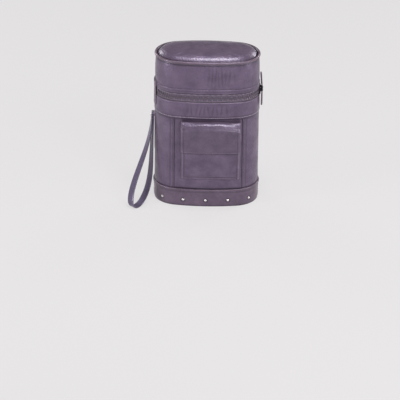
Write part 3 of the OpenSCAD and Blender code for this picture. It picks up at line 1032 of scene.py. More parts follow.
@dataclass
class CaseBody:
    """The standing body: leather wall, collar, base, lining and the strap's tab."""

    outline: Outline
    finishes: Finishes
    leather_t: float = 1.2
    base_top: float = 33.0
    base_t: float = 1.8
    flare_from: float = 17.0
    foot_r: float = 8.0
    collar_low: float = 168.0
    collar_high: float = 199.0
    seams: tuple[float, float] = (-55.5, 62.5)
    sewn: tuple[float, float] = (1.9, 6.8)
    groove: float = 0.9
    lap: float = 0.8
    hinge_half: float = 17.5
    hinge_low: float = 180.0
    stay_low: float = 90.0
    stay_high: float = 162.0
    stay_w: float = 16.0
    lining_low: float = 6.6
    lining_high: float = 206.7

    def build(self) -> None:
        """Builds and dresses every piece of the body."""
        self._wall()
        self._collar()
        self._base()
        lining = self.outline.lining(
            self.lining_low, self.lining_high, self.lining_low - self.outline.lining_t, rows=40)
        piece("body_lining_cloth", lining, self.finishes.nap, "lining", "case", "body_lining")
        self._stay()
        dress(self.finishes.board, "body_shell", "base_board", "box_rack")
        dress(self.finishes.nickel, "base_studs", "strap_rivet")

    def _past_seam(self, p: Vector) -> float:
        """How far a point is beyond the nearer seam of the end panels."""
        return max(p.x - self.seams[1], self.seams[0] - p.x)

    def _wall(self) -> None:
        """Leather wall, with its end panels lapped over the front and the rear and sewn twice."""
        bm = self.outline.band(-self.leather_t, 0.0, self.base_t, self.collar_high, rows=60, edge=0.0)
        tucked, clear, ply = 3.0, 5.0, 0.5
        offs = [0.0, ply, *(at + off for at in self.sewn for off in (-self.groove, 0.0, self.groove))]
        for seam in self.seams:
            score(bm, 0, [seam + math.copysign(off, seam) for off in offs])
        shadow = (1.0, 2.0, 3.2)
        score(bm, 2, [*(self.base_top + off for off in shadow), *(self.collar_low - off for off in shadow)])
        low, high = self.base_top - tucked, self.collar_low + tucked

        def move(p: Vector) -> float:
            """How far the leather stands out at a point."""
            if not low < p.z < high or self.outline.outside(p) < -self.leather_t / 2:
                return 0.0
            past = self._past_seam(p)
            fade = min(1.0, (p.z - low) / 2, (high - p.z) / 2)
            sunk = sum(0.4 * near(past, at, self.groove / 1.5) for at in self.sewn)
            lapped = self.lap if past >= 0.9 * ply else 0.0
            return fade * (unevenness(p, 24.0, 0.25) + lapped - sunk)

        def painted_shade_and_dirt(p: Vector) -> float:
            """Painted shade at a point: along the lapped seams, in the sewn grooves, above the base band
            and under the collar.
            """
            past = self._past_seam(p)
            lines = [0.95 * near(past, 0.1, 0.6), *(0.6 * near(past, at, 0.7) for at in self.sewn)]
            return max(*lines, near(p.z, self.base_top, 2.4), 0.9 * near(p.z, self.collar_low, 2.4))

        self.outline.push(bm, move)
        paths = []
        for face in Face:
            for seam in self.seams:
                for at in self.sewn:
                    x = seam + math.copysign(at, seam)
                    y = face.value * (self.outline.half_depth(x) + self.lap)
                    paths.append([Vector((x, y, low + clear)), Vector((x, y, high - clear))])
        thread = Stitching().on(bm, *paths)
        piece("body_leather", bm, self.finishes.hide, "leather", "case", "body_skin", painted_shade_and_dirt=painted_shade_and_dirt)
        piece("panel_stitching", thread, self.finishes.dark_thread, "leather", "case")

    def _collar(self) -> None:
        """Collar under the zip, with folds and a stitched lower edge."""
        low, high = self.collar_low, self.collar_high
        bm = self.outline.band(0.0, self.leather_t, low, high, rows=22, edge=0.5, step=1.1)

        def move(p: Vector) -> float:
            """How far the leather stands out at a point."""
            if self.outline.outside(p) < self.leather_t / 3:
                return 0.0
            share = (p.z - low) / (high - low)
            swell = 0.55 * math.sin(math.pi * within(share)) ** 0.6
            bead = 0.5 * near(p.z, high - 1.2, 0.9)
            # The collar is pressed flat where the hinge patch is sewn over it.
            beside = max((abs(p.y) - self.hinge_half) / 4, (self.hinge_low - p.z) / 3) if p.x < 0 else 1.0
            loose = swell + bead + unevenness(p, 15.0, 0.3) * share
            return within(beside) * loose - min(COLLAR_FOLDS.at(p), 0.95)

        def painted_shade_and_dirt(p: Vector) -> float:
            """Painted shade at a point: along the lower edge, along a row just above it, and in the folds.
            """
            rows = max(0.9 * near(p.z, low, 0.8), 0.5 * near(p.z, low + 4.4, 0.9))
            return max(rows, 0.5 * COLLAR_FOLDS.at(p))

        self.outline.push(bm, move)
        thread = Stitching(3.6, 2.7, 0.85).on(bm, self.outline.loop(1.6, low + 2.4))
        piece("collar_leather", bm, self.finishes.hide, "leather", "case", "collar", painted_shade_and_dirt=painted_shade_and_dirt)
        piece("collar_stitching", thread, self.finishes.thread, "leather", "case")

    def _base(self) -> None:
        """Base band with a turned top edge, and the leather bottom."""
        bm = self.outline.band(0.0, self.base_t, 0.0, self.base_top, rows=24, edge=0.6, step=1.4)

        def move(p: Vector) -> float:
            """How far the leather stands out at a point."""
            if self.outline.outside(p) < 0.8:
                return 0.0
            flare = share_of(p.z, self.flare_from, self.base_top) ** 1.5
            bead = 0.5 * near(p.z, self.base_top - 1.4, 1.0)
            turned = 1.2 * max(0.0, 1 - p.z / self.foot_r) ** 2
            return flare + bead - turned + unevenness(p, 20.0, 0.16) * min(1.0, p.z / 4)

        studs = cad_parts["base_studs"].data
        heads = BVHTree.FromPolygons(
            [v.co / MM for v in studs.vertices], [f.vertices[:] for f in studs.polygons],
        )

        def painted_shade_and_dirt(p: Vector) -> float:
            """Painted shade at a point: round each stud, along a row below the top edge, and towards the
            bottom.
            """
            halo = 0.8 * near(heads.find_nearest(p)[3], 0.0, 1.7)
            return max(halo, 0.45 * near(p.z, self.base_top - 5.4, 1.0), 0.6 * near(p.z, 0.0, 2.4))

        self.outline.push(bm, move)
        thread = Stitching().on(bm, self.outline.loop(3.0, self.base_top - 3.6))
        piece("base_leather", bm, self.finishes.trim, "trim_leather", "case", "base_band", painted_shade_and_dirt=painted_shade_and_dirt)
        piece("base_stitching", thread, self.finishes.dark_thread, "leather", "case")
        bm = self.outline.plate(0.05, 0.0, self.base_t)
        round_edges(bm, 0.4)
        piece("bottom_leather", bm, self.finishes.trim, "trim_leather", "case", "base_panel")

    def _stay(self) -> None:
        """Tab sewn to the left end under the strap, round at its lower end."""
        half, inset = self.stay_w / 2, 2.2
        bm = block((-half, CLEAR, self.stay_low), (half, self.leather_t, self.stay_high))
        foot = [e for e in edges_along(bm, 1) if e.verts[0].co.z < self.stay_low + 1]
        bevel(bm, foot, half - 0.5, 8)
        round_edges(bm, 0.4)
        cut_up(bm, 2.5)
        self.outline.lay_on_left_end(bm)
        ends = (self.stay_low + half, self.stay_high - 2)
        paths = [[self.outline.left_end(x, 1.3, z) for z in ends] for x in (inset - half, half - inset)]
        thread = Stitching().on(bm, *paths)
        piece("strap_tab_leather", bm, self.finishes.trim, "trim_leather", "case", "strap_stay")
        piece("strap_tab_stitching", thread, self.finishes.thread, "leather", "case")


@dataclass
class Lid:
    """The padded lid: leather side, binding, piping, cushion and lining."""

    outline: Outline
    finishes: Finishes
    low: float = 215.0
    rim: float = 270.0
    leather_t: float = 1.15
    binding_t: float = 1.0
    binding_high: float = 223.0
    crown: float = 13.0
    pad_inset: float = 3.3
    pad_rings: int = 12
    piping_r: float = 2.4
    piping_in: float = 0.6
    lining_low: float = 207.3
    lining_high: float = 267.2

    def build(self) -> None:
        """Builds and dresses every piece of the lid."""
        self._side()
        self._binding()
        self._piping()
        self._cushion()
        lining = self.outline.lining(self.lining_low, self.lining_high, self.lining_high, rows=20)
        piece("lid_lining_cloth", lining, self.finishes.nap, "lining", "lid", "lid_lining")
        dress(self.finishes.board, "lid_shell")

    def _side(self) -> None:
        """Leather side, a little drawn in towards the rim and creased where the hand grips it."""
        bm = self.outline.band(-self.leather_t, 0.0, self.low, self.rim, rows=40, edge=0.0, step=1.1)
        dark_z = self.rim - 1.6

        def move(p: Vector) -> float:
            """How far the leather stands out at a point."""
            if abs(self.outline.outside(p)) > 0.5:
                return 0.0
            share = (p.z - self.low) / (self.rim - self.low)
            swell = 0.9 * math.sin(math.pi * within(share)) - 0.4 * share
            tuck = 0.45 * near(p.z, self.rim, 4.0)
            loose = unevenness(p, 18.0, 0.5) * share * (1 - near(p.z, self.rim, 8.0))
            return max(swell + loose - LID_FOLDS.at(p) - tuck, -1.0)

        def painted_shade_and_dirt(p: Vector) -> float:
            """Painted shade at a point: under the piping, along the top of the binding, and in the folds.
            """
            rows = max(near(min(p.z, dark_z), dark_z, 1.6), 0.5 * near(p.z, self.binding_high, 1.4))
            return max(rows, 0.5 * LID_FOLDS.at(p))

        self.outline.push(bm, move)
        piece("lid_side_leather", bm, self.finishes.hide, "leather", "lid", "lid_skin", painted_shade_and_dirt=painted_shade_and_dirt)

    def _binding(self) -> None:
        """Folded binding along the lower edge, sewn down."""
        bm = self.outline.band(
            CLEAR, self.binding_t, self.low, self.binding_high, rows=8, edge=0.4, step=1.6)
        middle = (self.low + self.binding_high) / 2

        def move(p: Vector) -> float:
            """How far the leather stands out at a point."""
            if abs(self.outline.outside(p)) < self.binding_t / 2:
                return 0.0
            return 0.35 * math.cos((p.z - middle) / 4.6 * math.pi / 2) + unevenness(p, 9.0, 0.25)

        def painted_shade_and_dirt(p: Vector) -> float:
            """Painted shade at a point: along the lower edge, and along a row below the top edge."""
            return max(near(p.z, self.low, 0.9), 0.4 * near(p.z, self.binding_high - 3.6, 0.9))

        self.outline.push(bm, move)
        thread = Stitching().on(bm, self.outline.loop(1.5, self.binding_high - 1.9))
        piece("lid_binding_leather", bm, self.finishes.hide, "leather", "lid", "lid_binding", painted_shade_and_dirt=painted_shade_and_dirt)
        piece("binding_stitching", thread, self.finishes.dark_thread, "leather", "lid")

    def _piping(self) -> None:
        """Leather-covered cord round the rim."""
        bm = bmesh.new()
        centre = self.rim + self.piping_r
        bmesh.ops.create_circle(bm, segments=16, radius=self.piping_r)
        bmesh.ops.rotate(bm, verts=bm.verts, cent=(0, 0, 0), matrix=Matrix.Rotation(math.pi / 2, 3, "X"))
        spot = (self.outline.width / 2 - self.piping_in, 0, centre)
        bmesh.ops.translate(bm, vec=spot, verts=bm.verts)
        self.outline.sweep(bm, 2.0)
        self.outline.push(bm, lambda p: unevenness(p, 6.0, 0.12))

        def painted_shade_and_dirt(p: Vector) -> float:
            """Painted shade at a point: along the rim below the cord, and on the cord's inner side next to
            the pad.
            """
            out = self.outline.outside(p) + self.piping_in
            inner = near(min(out, 0.6), -self.piping_r, 2.0)
            return max(near(p.z, self.rim, 1.9), inner * near(p.z, centre + 0.8, 2.4))

        piece("piping_leather", bm, self.finishes.trim, "trim_leather", "lid", "lid_piping", painted_shade_and_dirt=painted_shade_and_dirt)

    def _cushion(self) -> None:
        """Padded top, inset ring by ring to its crown and then swollen as stuffed leather."""
        bm = self.outline.plate(self.pad_inset, self.rim + CLEAR, self.rim + 1.4)
        top = max(bm.faces, key=lambda f: f.calc_center_median().z)
        reach = self.outline.end_r - self.pad_inset - 4
        shares = [(i / self.pad_rings) ** 1.5 for i in range(self.pad_rings + 1)]
        heights = [(self.crown - 0.6) * (1 - (1 - share) ** 3.2) ** 0.75 for share in shares]
        for (near_in, far_in), (below, above) in zip(pairwise(shares), pairwise(heights)):
            bmesh.ops.inset_region(
                bm, faces=[top], thickness=reach * (far_in - near_in), depth=above - below,
                use_even_offset=True,
            )
        settle(bm)
        bmesh.ops.triangulate(bm, faces=[f for f in bm.faces if len(f.verts) > 4])
        cushion = piece("lid_cushion", bm, self.finishes.rubbed_hide, "leather", None, crisp=80.0)
        stuff(cushion, voxel=2.4, pressure=4.0, most=1.6, held=self.rim + 1.0)
        # Painted shade round the foot of the pad, where it sinks to the piping.
        layer = cushion.data.attributes.new("painted_shade_and_dirt", "FLOAT", "POINT").data
        dark_z = self.rim + 2.6
        for v in cushion.data.vertices:
            layer[v.index].value = near(max(v.co.z / MM, dark_z), dark_z, 1.3)
        carry(cushion, "lid", "lid_pad")


@dataclass
class Zip:
    """The zip round the lid: tapes, teeth, sliders and pulls."""

    outline: Outline
    finishes: Finishes
    part: float = 207.0
    collar_top: float = 199.0
    lid_low: float = 215.0
    gap: float = 0.3
    tape_in: float = -1.2
    tape_out: float = -0.3
    cord_in: float = 5.4
    hinge_half: float = 17.0
    bar: float = 49.55
    turn: float = 8.0
    lean: float = 4.0
    tab: tuple[float, float, float] = (2.2, 8.0, 24.0)
    tab_low: float = 4.4

    def build(self) -> None:
        """Builds and dresses every piece of the zip."""
        self._tape(Row.LOWER, self.collar_top, self.part - self.gap, "case")
        self._tape(Row.UPPER, self.lid_low, self.part + self.gap, "lid")
        for face in Face:
            self._tab(face)
        dress(self.finishes.teeth, "zip_teeth_lower", "zip_teeth_upper")
        dress(
            self.finishes.gunmetal,
            "zip_slider_front", "zip_slider_rear", "zip_pull_front", "zip_pull_rear",
        )

    def _tape(self, row: Row, sewn: float, free: float, body: str) -> None:
        """Woven tape with a corded edge beside the teeth, left open at the hinge.

        Args:
            row: The half of the zip.
            sewn: Height of the edge that is sewn down.
            free: Height of the edge at the parting.
            body: The body that carries it.
        """
        low, high = sorted((sewn, free))
        bm = self.outline.band(self.tape_in, self.tape_out, low, high, rows=10, edge=0.0)
        cord = free + row.value * self.cord_in
        self.outline.push(bm, lambda p: 0.55 * near(p.z, cord, 0.9))
        middles = [(f, f.calc_center_median()) for f in bm.faces]
        gone = [f for f, m in middles if m.x < 0 and abs(m.y) < self.hinge_half]
        bmesh.ops.delete(bm, geom=gone, context="FACES")
        bmesh.ops.holes_fill(bm, edges=bm.edges)
        settle(bm)
        node = f"zip_tape_{row.name.lower()}"
        # Painted shade along the sewn edge, where the tape runs under the leather.
        piece(
            f"{node}_cloth", bm, self.finishes.tape, "zip_tape", body, node,
            painted_shade_and_dirt=lambda p: near(p.z, sewn, 1.5),
        )

    def _tab(self, face: Face) -> None:
        """Leather tab sewn on a pull: the front one hangs, the rear one stands.

        Args:
            face: The face on the pull's side.
        """
        thick, wide, long = self.tab
        low, high, inset = self.tab_low, self.tab_low + long, 1.5
        bm = block((-thick / 2, -wide / 2, low), (thick / 2, wide / 2, high))
        tip = [e for e in edges_along(bm, 0) if e.verts[0].co.z > low + 1]
        bevel(bm, tip, wide / 2 - 0.2, 7)
        round_edges(bm, 0.5)
        paths = [
            [Vector((x, y, z)) for z in (low + inset, high - wide / 2)]
            for x in (-thick, thick) for y in (inset - wide / 2, wide / 2 - inset)
        ]
        thread = Stitching(2.8, 2.0, 0.45).on(bm, *paths)
        hang = Matrix.Rotation(math.pi, 4, "X")
        stand = Matrix.Rotation(math.radians(-self.lean), 4, "Y")
        place = (
            Matrix.Translation((self.outline.end_c, 0, 0))
            @ Matrix.Rotation(math.radians(face.value * self.turn), 4, "Z")
            @ Matrix.Translation((self.bar, 0, self.part))
            @ (stand if face is Face.REAR else hang)
        )
        # Painted shade: each tab is darkened all over, as though in shadow.
        side, tab_shade = face.name.lower(), 0.6
        for mesh, name, finish, slot, nodes in (
            (bm, f"pull_tab_{side}", self.finishes.trim, "trim_leather", [f"zip_tab_{side}"]),
            (thread, f"pull_tab_{side}_stitching", self.finishes.thread, "leather", []),
        ):
            bmesh.ops.transform(mesh, matrix=place, verts=mesh.verts)
            settle(mesh)
            piece(name, mesh, finish, slot, f"{side}_pull", *nodes, painted_shade_and_dirt=lambda p: tab_shade)


@dataclass
class LidHinge:
    """Leather patch on the left end that the lid folds on."""

    outline: Outline
    finishes: Finishes
    half: float = 16.8
    low: float = 179.0
    high: float = 223.0
    inner: float = 1.4
    outer: float = 2.5
    fold: float = 207.0
    roll_x: float = -91.5
    bend: float = 5.0
    corner: float = 3.5

    def build(self) -> None:
        """Builds the patch and its stitching."""
        bm = block((-self.half, self.inner, self.low), (self.half, self.outer, self.high))
        bevel(bm, edges_along(bm, 1), self.corner, 5)
        round_edges(bm, 0.35)
        cut_up(bm, 2.2)
        self.outline.lay_on_left_end(bm)
        self.outline.push(bm, lambda p: -0.5 * near(p.z, self.fold, 2.2))
        lower, upper = self._sew(bm, -1, self.low), self._sew(bm, 1, self.high)
        patch = piece("hinge_leather", bm, self.finishes.trim, "trim_leather", None)
        start, end = (
            (self.roll_x * MM, 0, (self.fold + off) * MM) for off in (-self.bend, self.bend)
        )
        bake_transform(patch)
        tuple(start)
        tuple(end)
        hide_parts("hinge_leaf_lower", "hinge_leaf_upper", "hinge_roll")
        piece("hinge_stitching_lower", lower, self.finishes.thread, "leather", "case")
        piece("hinge_stitching_upper", upper, self.finishes.thread, "leather", "lid")

    def _sew(self, bm: BMesh, way: int, edge: float) -> BMesh:
        """Sews three sides of one half of the patch.

        Args:
            bm: The patch.
            way: -1 for the lower half, 1 for the upper.
            edge: Height of that half's far edge.

        Returns:
            The thread's mesh.
        """
        inset, clear, out, steps = 3.0, 7.0, 2.6, 10
        wide, row = self.half - inset, edge - way * inset
        ends = sorted((row, self.fold + way * clear))
        sides = [[self.outline.left_end(x, out, z) for z in ends] for x in (-wide, wide)]
        across = [self.outline.left_end(wide * i / steps, out, row) for i in range(-steps, steps + 1)]
        return Stitching().on(bm, *sides, across)


@dataclass
class CardPocket:
    """A card pocket with its flap, on one face."""

    outline: Outline
    finishes: Finishes
    face: Face
    middle: float = 8.0
    width: float = 102.0
    low: float = 54.0
    mouth: float = 153.0
    out_low: float = 53.0
    out_high: float = 65.0
    inside: float = 38.0
    wall: float = 1.4
    corner: float = 3.5
    sewn_in: float = 5.0
    line: float = 1.1
    fold: float = 164.0
    hinge_u: float = 51.4
    root_u: float = 49.2
    free_u: float = 53.4
    bulge_u: tuple[float, float] = (52.5, 71.5)
    hang_u: tuple[float, float] = (55.0, 61.0)
    front_u: float = 58.0
    flap_t: float = 1.0
    flap_gap: float = 0.35
    flap_r: float = 12.5
    hem: float = 109.0
    flap_w: float = 103.2

    @property
    def slope(self) -> float:
        """How far the front panel comes out for each millimetre of height."""
        return (self.out_high - self.out_low) / (self.mouth - self.low)

    @property
    def side(self) -> str:
        """The face's name in piece names."""
        return self.face.name.lower()

    def panel(self, z: float) -> float:
        """Distance of the flat front panel from the middle plane."""
        return self.out_low + self.slope * (z - self.low)

    def swell(self, x: float, z: float) -> float:
        """How far the filled leather stands proud of the flat panel.

        Args:
            x: Place along the width.
            z: Height.

        Returns:
            The distance.
        """
        across = max(0.0, 1 - (2 * (x - self.middle) / self.width) ** 2)
        share = share_of(z, self.low, self.fold)
        full = 2.4 * across ** 0.6 * math.sin(math.pi * share ** 1.5) ** 0.7
        return full + unevenness(Vector((x, 0.0, z)), 19.0, 0.45) * across

    def build(self) -> None:
        """Builds the pocket, the flap and their stitching."""
        self._pocket()
        self._flap()

    def _score_sides(self, bm: BMesh, edge: float) -> None:
        """Cuts along the sewn lines beside both edges, at a distance from the middle."""
        offs = (-self.line, 0, self.line)
        score(bm, 0, [self.middle + side * (edge + off) for side in (-1, 1) for off in offs])

    def _close(self, bm: BMesh, thick: float) -> None:
        """Seats an open sheet on the case's skin and gives it its thickness, inwards.

        Args:
            bm: The sheet.
            thick: Its thickness.
        """
        proud, weld = 0.05, 0.3
        for v in bm.verts:
            v.co.y = max(v.co.y, self.outline.half_depth(v.co.x) + proud)
        settle(bm, weld)
        front = max(bm.faces, key=lambda f: f.calc_center_median().y)
        if front.normal.y < 0:
            bmesh.ops.reverse_faces(bm, faces=bm.faces)
        bmesh.ops.solidify(bm, geom=bm.faces[:], thickness=thick)

    def _place(self, bm: BMesh) -> None:
        """Turns a mesh whose Y points out of the face to the face's own side."""
        bmesh.ops.scale(bm, vec=(1, self.face.value, 1), verts=bm.verts)
        settle(bm)

    def _lines(self, turns: Sequence[tuple[float, float]], proud: float) -> list[list[Vector]]:
        """Straight lines on the front panel, to sew along.

        Args:
            turns: The lines' corners, as X from the middle and height.
            proud: How far outside the panel the lines are drawn.

        Returns:
            The points of each line.
        """
        paths = []
        for (x0, z0), (x1, z1) in pairwise(turns):
            count = max(2, round(math.hypot(x1 - x0, z1 - z0) / 4))
            path = []
            for i in range(count + 1):
                x, z = self.middle + x0 + (x1 - x0) * i / count, z0 + (z1 - z0) * i / count
                path.append(Vector((x, self.face.value * (self.panel(z) + proud + self.swell(x, z)), z)))
            paths.append(path)
        return paths

    def _pocket(self) -> None:
        """Wedge-shaped pocket, open at the top, with its sides drawn in."""
        bm = bmesh.new()
        half = self.width / 2
        bmesh.ops.create_cube(bm, size=2.0)
        for v in bm.verts:
            z = self.mouth if v.co.z > 0 else self.low
            y = self.panel(z) if v.co.y > 0 else self.inside
            v.co = Vector((self.middle + v.co.x * half, y, z))
        open_faces = [
            f for f in bm.faces
            if all(v.co.z == self.mouth for v in f.verts) or all(v.co.y == self.inside for v in f.verts)
        ]
        bmesh.ops.delete(bm, geom=open_faces, context="FACES")
        bevel(bm, [e for e in bm.edges if len(e.link_faces) == 2], self.corner, 4)
        refine(bm, 3.4)
        edge, sill = half - self.sewn_in, self.low + self.sewn_in
        self._score_sides(bm, edge)
        shadow = (self.hem - 3.2, self.hem - 1.6, self.hem)
        score(bm, 2, [sill - self.line, sill, sill + self.line, *shadow])

        def sewn(aside: float, z: float) -> float:
            """One on the sewn lines, falling to nothing beside them."""
            return max(near(aside, edge, 0.8), near(z, sill, 0.8) if aside < edge else 0.0)

        for v in bm.verts:
            front = max(0.0, 1 - (self.panel(v.co.z) - v.co.y) / 4)
            groove = 0.4 * sewn(abs(v.co.x - self.middle), v.co.z)
            v.co.y += (self.swell(v.co.x, v.co.z) - groove) * front
            if front < 1:
                share = (v.co.z - self.low) / (self.mouth - self.low)
                drawn = 0.5 * math.sin(math.pi * share) * (1 - front)
                v.co.x -= math.copysign(drawn, v.co.x - self.middle)
        self._close(bm, self.wall)
        self._place(bm)
        top = self.mouth - 4
        turns = [(-edge, top), (-edge, sill), (edge, sill), (edge, top)]
        thread = Stitching().on(bm, *self._lines(turns, 2.0))

        def painted_shade_and_dirt(p: Vector) -> float:
            """Painted shade at a point: where the pocket meets the case, along the sewn lines, and under
            the flap's hem.
            """
            foot = near(abs(p.y) - self.outline.half_depth(p.x), 0.0, 2.0)
            under = near(p.z, self.hem - 1.4, 1.6) if abs(p.y) > self.panel(p.z) - 3 else 0.0
            return max(foot, 0.6 * sewn(abs(p.x - self.middle), p.z), 0.6 * under)

        piece(
            f"{self.side}_pocket_leather", bm, self.finishes.hide, "leather", "case",
            f"{self.side}_pocket", painted_shade_and_dirt=painted_shade_and_dirt,
        )
        piece(f"{self.side}_pocket_stitching", thread, self.finishes.dark_thread, "leather", "case")

    def _flap(self) -> None:
        """Flap from its fold at the case, over the pocket's mouth and down its front."""
        bm = bmesh.new()
        half, lean = self.flap_w / 2, math.atan(self.slope)
        off = (self.flap_gap + self.flap_t) / math.cos(lean)
        top = self.fold + self.flap_t / 2
        line = [(self.inside, top), (self.panel(top) + off, top), (self.panel(self.hem) + off, self.hem)]
        verts = [bm.verts.new((self.middle - half, y, z)) for y, z in line]
        edges = [bm.edges.new(pair) for pair in pairwise(verts)]
        made = bmesh.ops.extrude_edge_only(bm, edges=edges)
        far = [g for g in made["geom"] if isinstance(g, bmesh.types.BMVert)]
        bmesh.ops.translate(bm, vec=(self.flap_w, 0, 0), verts=far)
        ends = [v for v in bm.verts if v.co.z < self.hem + 1]
        bevel(bm, ends, self.corner, 4, affect="VERTICES")
        reach = self.flap_r * math.tan((math.pi / 2 + lean) / 2)
        bevel(bm, [e for e in bm.edges if len(e.link_faces) == 2], reach, 9)
        cut_up(bm, 3.0)
        bend_low, edge = top - reach, half - self.sewn_in
        self._score_sides(bm, edge)
        for v in bm.verts:
            x, z = v.co.x, v.co.z
            aside = abs(x - self.middle)
            hang = share_of(v.co.y, *self.hang_u)
            v.co.y += (self.swell(x, z) - 0.3 * near(aside, edge, 0.8)) * hang
            if z > bend_low:
                across = max(0.0, 1 - (aside / half) ** 2) ** 0.5
                v.co.z += 1.6 * across * math.sin(math.pi * share_of(v.co.y, *self.bulge_u))
                v.co.z -= 4.2 * (aside / half) ** 2.6 * min(1.0, (z - bend_low) / 6) * hang
            v.co.z -= 0.35 * near(v.co.y, self.hinge_u, 1.4)
        self._close(bm, self.flap_t)
        round_edges(bm, 0.4, least_turn=70.0, segments=2)
        self._place(bm)
        rows = [[(x, bend_low - 1), (x, self.hem + 1.5)] for x in (-edge, edge)]
        thread = Stitching().on(bm, *(path for row in rows for path in self._lines(row, 4.0)))
        # The whole flap is painted a little darker.
        flap_darkening = 0.12

        def painted_shade_and_dirt(p: Vector) -> float:
            """The whole flap a little darker, with painted shade by the fold and along the sewn lines."""
            sewn = 0.6 * near(abs(p.x - self.middle), edge, 0.8) if abs(p.y) > self.front_u else 0.0
            return max(flap_darkening, near(abs(p.y), self.hinge_u - 2, 2.4), sewn)

        flap = piece(
            f"{self.side}_flap_leather", bm, self.finishes.rubbed_hide, "leather", None, painted_shade_and_dirt=painted_shade_and_dirt,
        )
        start, end = (
            (self.middle * MM, self.face.value * u * MM, self.fold * MM) for u in (self.root_u, self.free_u)
        )
        body = f"{self.side}_flap_body"
        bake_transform(flap)
        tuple(start)
        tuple(end)
        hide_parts(f"{self.side}_flap", f"{self.side}_welt")
        piece(f"{self.side}_flap_stitching", thread, self.finishes.dark_thread, "leather", body)


@dataclass
class WristStrap:
    """Flat leather strap, folded in a loop and riveted by both ends."""

    outline: Outline
    finishes: Finishes
    width: float = 13.0
    thick: float = 2.2
    rivet_z: float = 152.0
    loop_w: float = 67.0
    lean: float = 32.0
    turn: float = 46.0
    foot: float = 0.2
    skin: float = 1.2
    clear: float = 0.4
    end: float = 6.5
    length: float = 350.0

    def _sunk(self, u: float) -> float:
        """Share of the drop at angle u of the loop."""
        return (1 - math.cos(u)) / 2

    def _aside(self, u: float) -> float:
        """Direction of the loop's spread."""
        return math.radians(90 - self.turn * self._sunk(u) ** 0.7)

    def _mid(self, u: float) -> Vector:
        """Middle of the strap at an angle of its loop.

        Args:
            u: Angle, from the outer end at 0 to the inner end at a full turn.

        Returns:
            The point.
        """
        p, a = self._sunk(u), self._aside(u)
        s = self.loop_w / 2 * (1 + math.sin(u)) * abs(math.sin(u / 2)) ** 4.2
        lap = (self.thick + self.clear) * (1 + math.cos(u / 2)) / 2
        turned = self.width / 2 * math.cos(a)
        wall = self.outline.width / 2 + self.skin + self.clear + self.thick / 2
        return Vector((
            -wall - lap - turned - s * math.sin(a),
            -self.lean * p ** 1.1 - s * math.cos(a),
            self.rivet_z - (self.rivet_z - self.foot - self.thick / 2) * p,
        ))

    def _frame(self, u: float) -> tuple[Vector, Vector, Vector]:
        """How the strap lies at an angle of its loop.

        Args:
            u: Angle of the loop.

        Returns:
            The middle of the strap, and its side and face directions.
        """
        least, step = 1e-6, 0.017
        if least < u < 2 * math.pi - least:
            run = (self._mid(u + step) - self._mid(u - step)).normalized()
        else:
            run = Vector((0, 0, -1 if u <= least else 1))
        a = self._aside(u)
        side = Vector((math.cos(a), -math.sin(a), 0))
        side = (side - run * side.dot(run)).normalized()
        return self._mid(u), side, run.cross(side).normalized()

    def build(self) -> None:
        """Builds the strap from a flat strip bent along its line."""
        half, t, inset = self.width / 2, self.thick / 2, 2.0
        bm = block((-self.end, -half, -t), (self.length + self.end, half, t))
        bevel(bm, edges_along(bm, 0), 0.6, 2)
        score(bm, 1, (inset - half, 0.0, half - inset))
        bmesh.ops.subdivide_edges(bm, edges=edges_along(bm, 0), cuts=199, use_grid_fill=True)
        sewn, first, step = half - 2.2, 4, 2
        count = round(self.length / step) - 3
        paths = [
            [Vector((first + i * step, y, z)) for i in range(count)]
            for y in (-sewn, sewn) for z in (-t, t)
        ]
        thread = Stitching(3.8, 2.6, 0.5).on(bm, *paths)
        # The strap is painted darker along both edges.
        layer = bm.verts.layers.float.new("painted_shade_and_dirt")
        for v in bm.verts:
            v[layer] = 0.8 * near(abs(v.co.y), half, 0.9)
        for mesh in (bm, thread):
            self._bend(mesh)
            settle(mesh)
        piece("wrist_strap_leather", bm, self.finishes.strap, "trim_leather", "strap", "wrist_strap")
        piece("wrist_strap_stitching", thread, self.finishes.dark_thread, "leather", "strap")

    def _bend(self, bm: BMesh) -> None:
        """Carries a flat mesh onto the strap's line.

        Args:
            bm: The mesh, with its length along X.
        """
        count = 240
        points = [self._mid(2 * math.pi * i / count) for i in range(count + 1)]
        lengths = [0.0, *accumulate((b - a).length for a, b in pairwise(points))]
        for v in bm.verts:
            goal = within(v.co.x / self.length) * lengths[-1]
            i = min(bisect_left(lengths, goal, 1), count)
            part = (goal - lengths[i - 1]) / (lengths[i] - lengths[i - 1])
            mid, side, face = self._frame(2 * math.pi * (i - 1 + part) / count)
            over = max(-v.co.x, v.co.x - self.length, 0.0)
            v.co = mid + side * v.co.y + face * v.co.z + Vector((0, 0, over))


@dataclass
class Insides:
    """The moulded chip tray and the capped chip boxes."""

    finishes: Finishes
    boxes: int = 4

    def build(self) -> None:
        """Dresses the moulded pieces."""
        dress(self.finishes.black, "chip_tray")
        for n in range(1, self.boxes + 1):
            dress(self.finishes.black, f"chip_box_{n}", f"box_cap_{n}")


@dataclass(frozen=True)
class Lamp:
    """A soft square lamp: its place and size in metres, and its power in watts."""

    name: str
    place: tuple[float, float, float]
    size: float
    power: float

    def hang(self, aim: Vector) -> None:
        """Hangs the lamp so that it faces a point.

        Args:
            aim: The point.
        """
        lamp = bpy.data.lights.new(self.name, "AREA")
        lamp.size = self.size
        lamp.energy = self.power
        made = bpy.data.objects.new(self.name, lamp)
        made.location = self.place
        made.visible_camera = False
        made.rotation_euler = (aim - Vector(self.place)).to_track_quat("-Z", "Y").to_euler()
        bpy.context.scene.collection.objects.link(made)


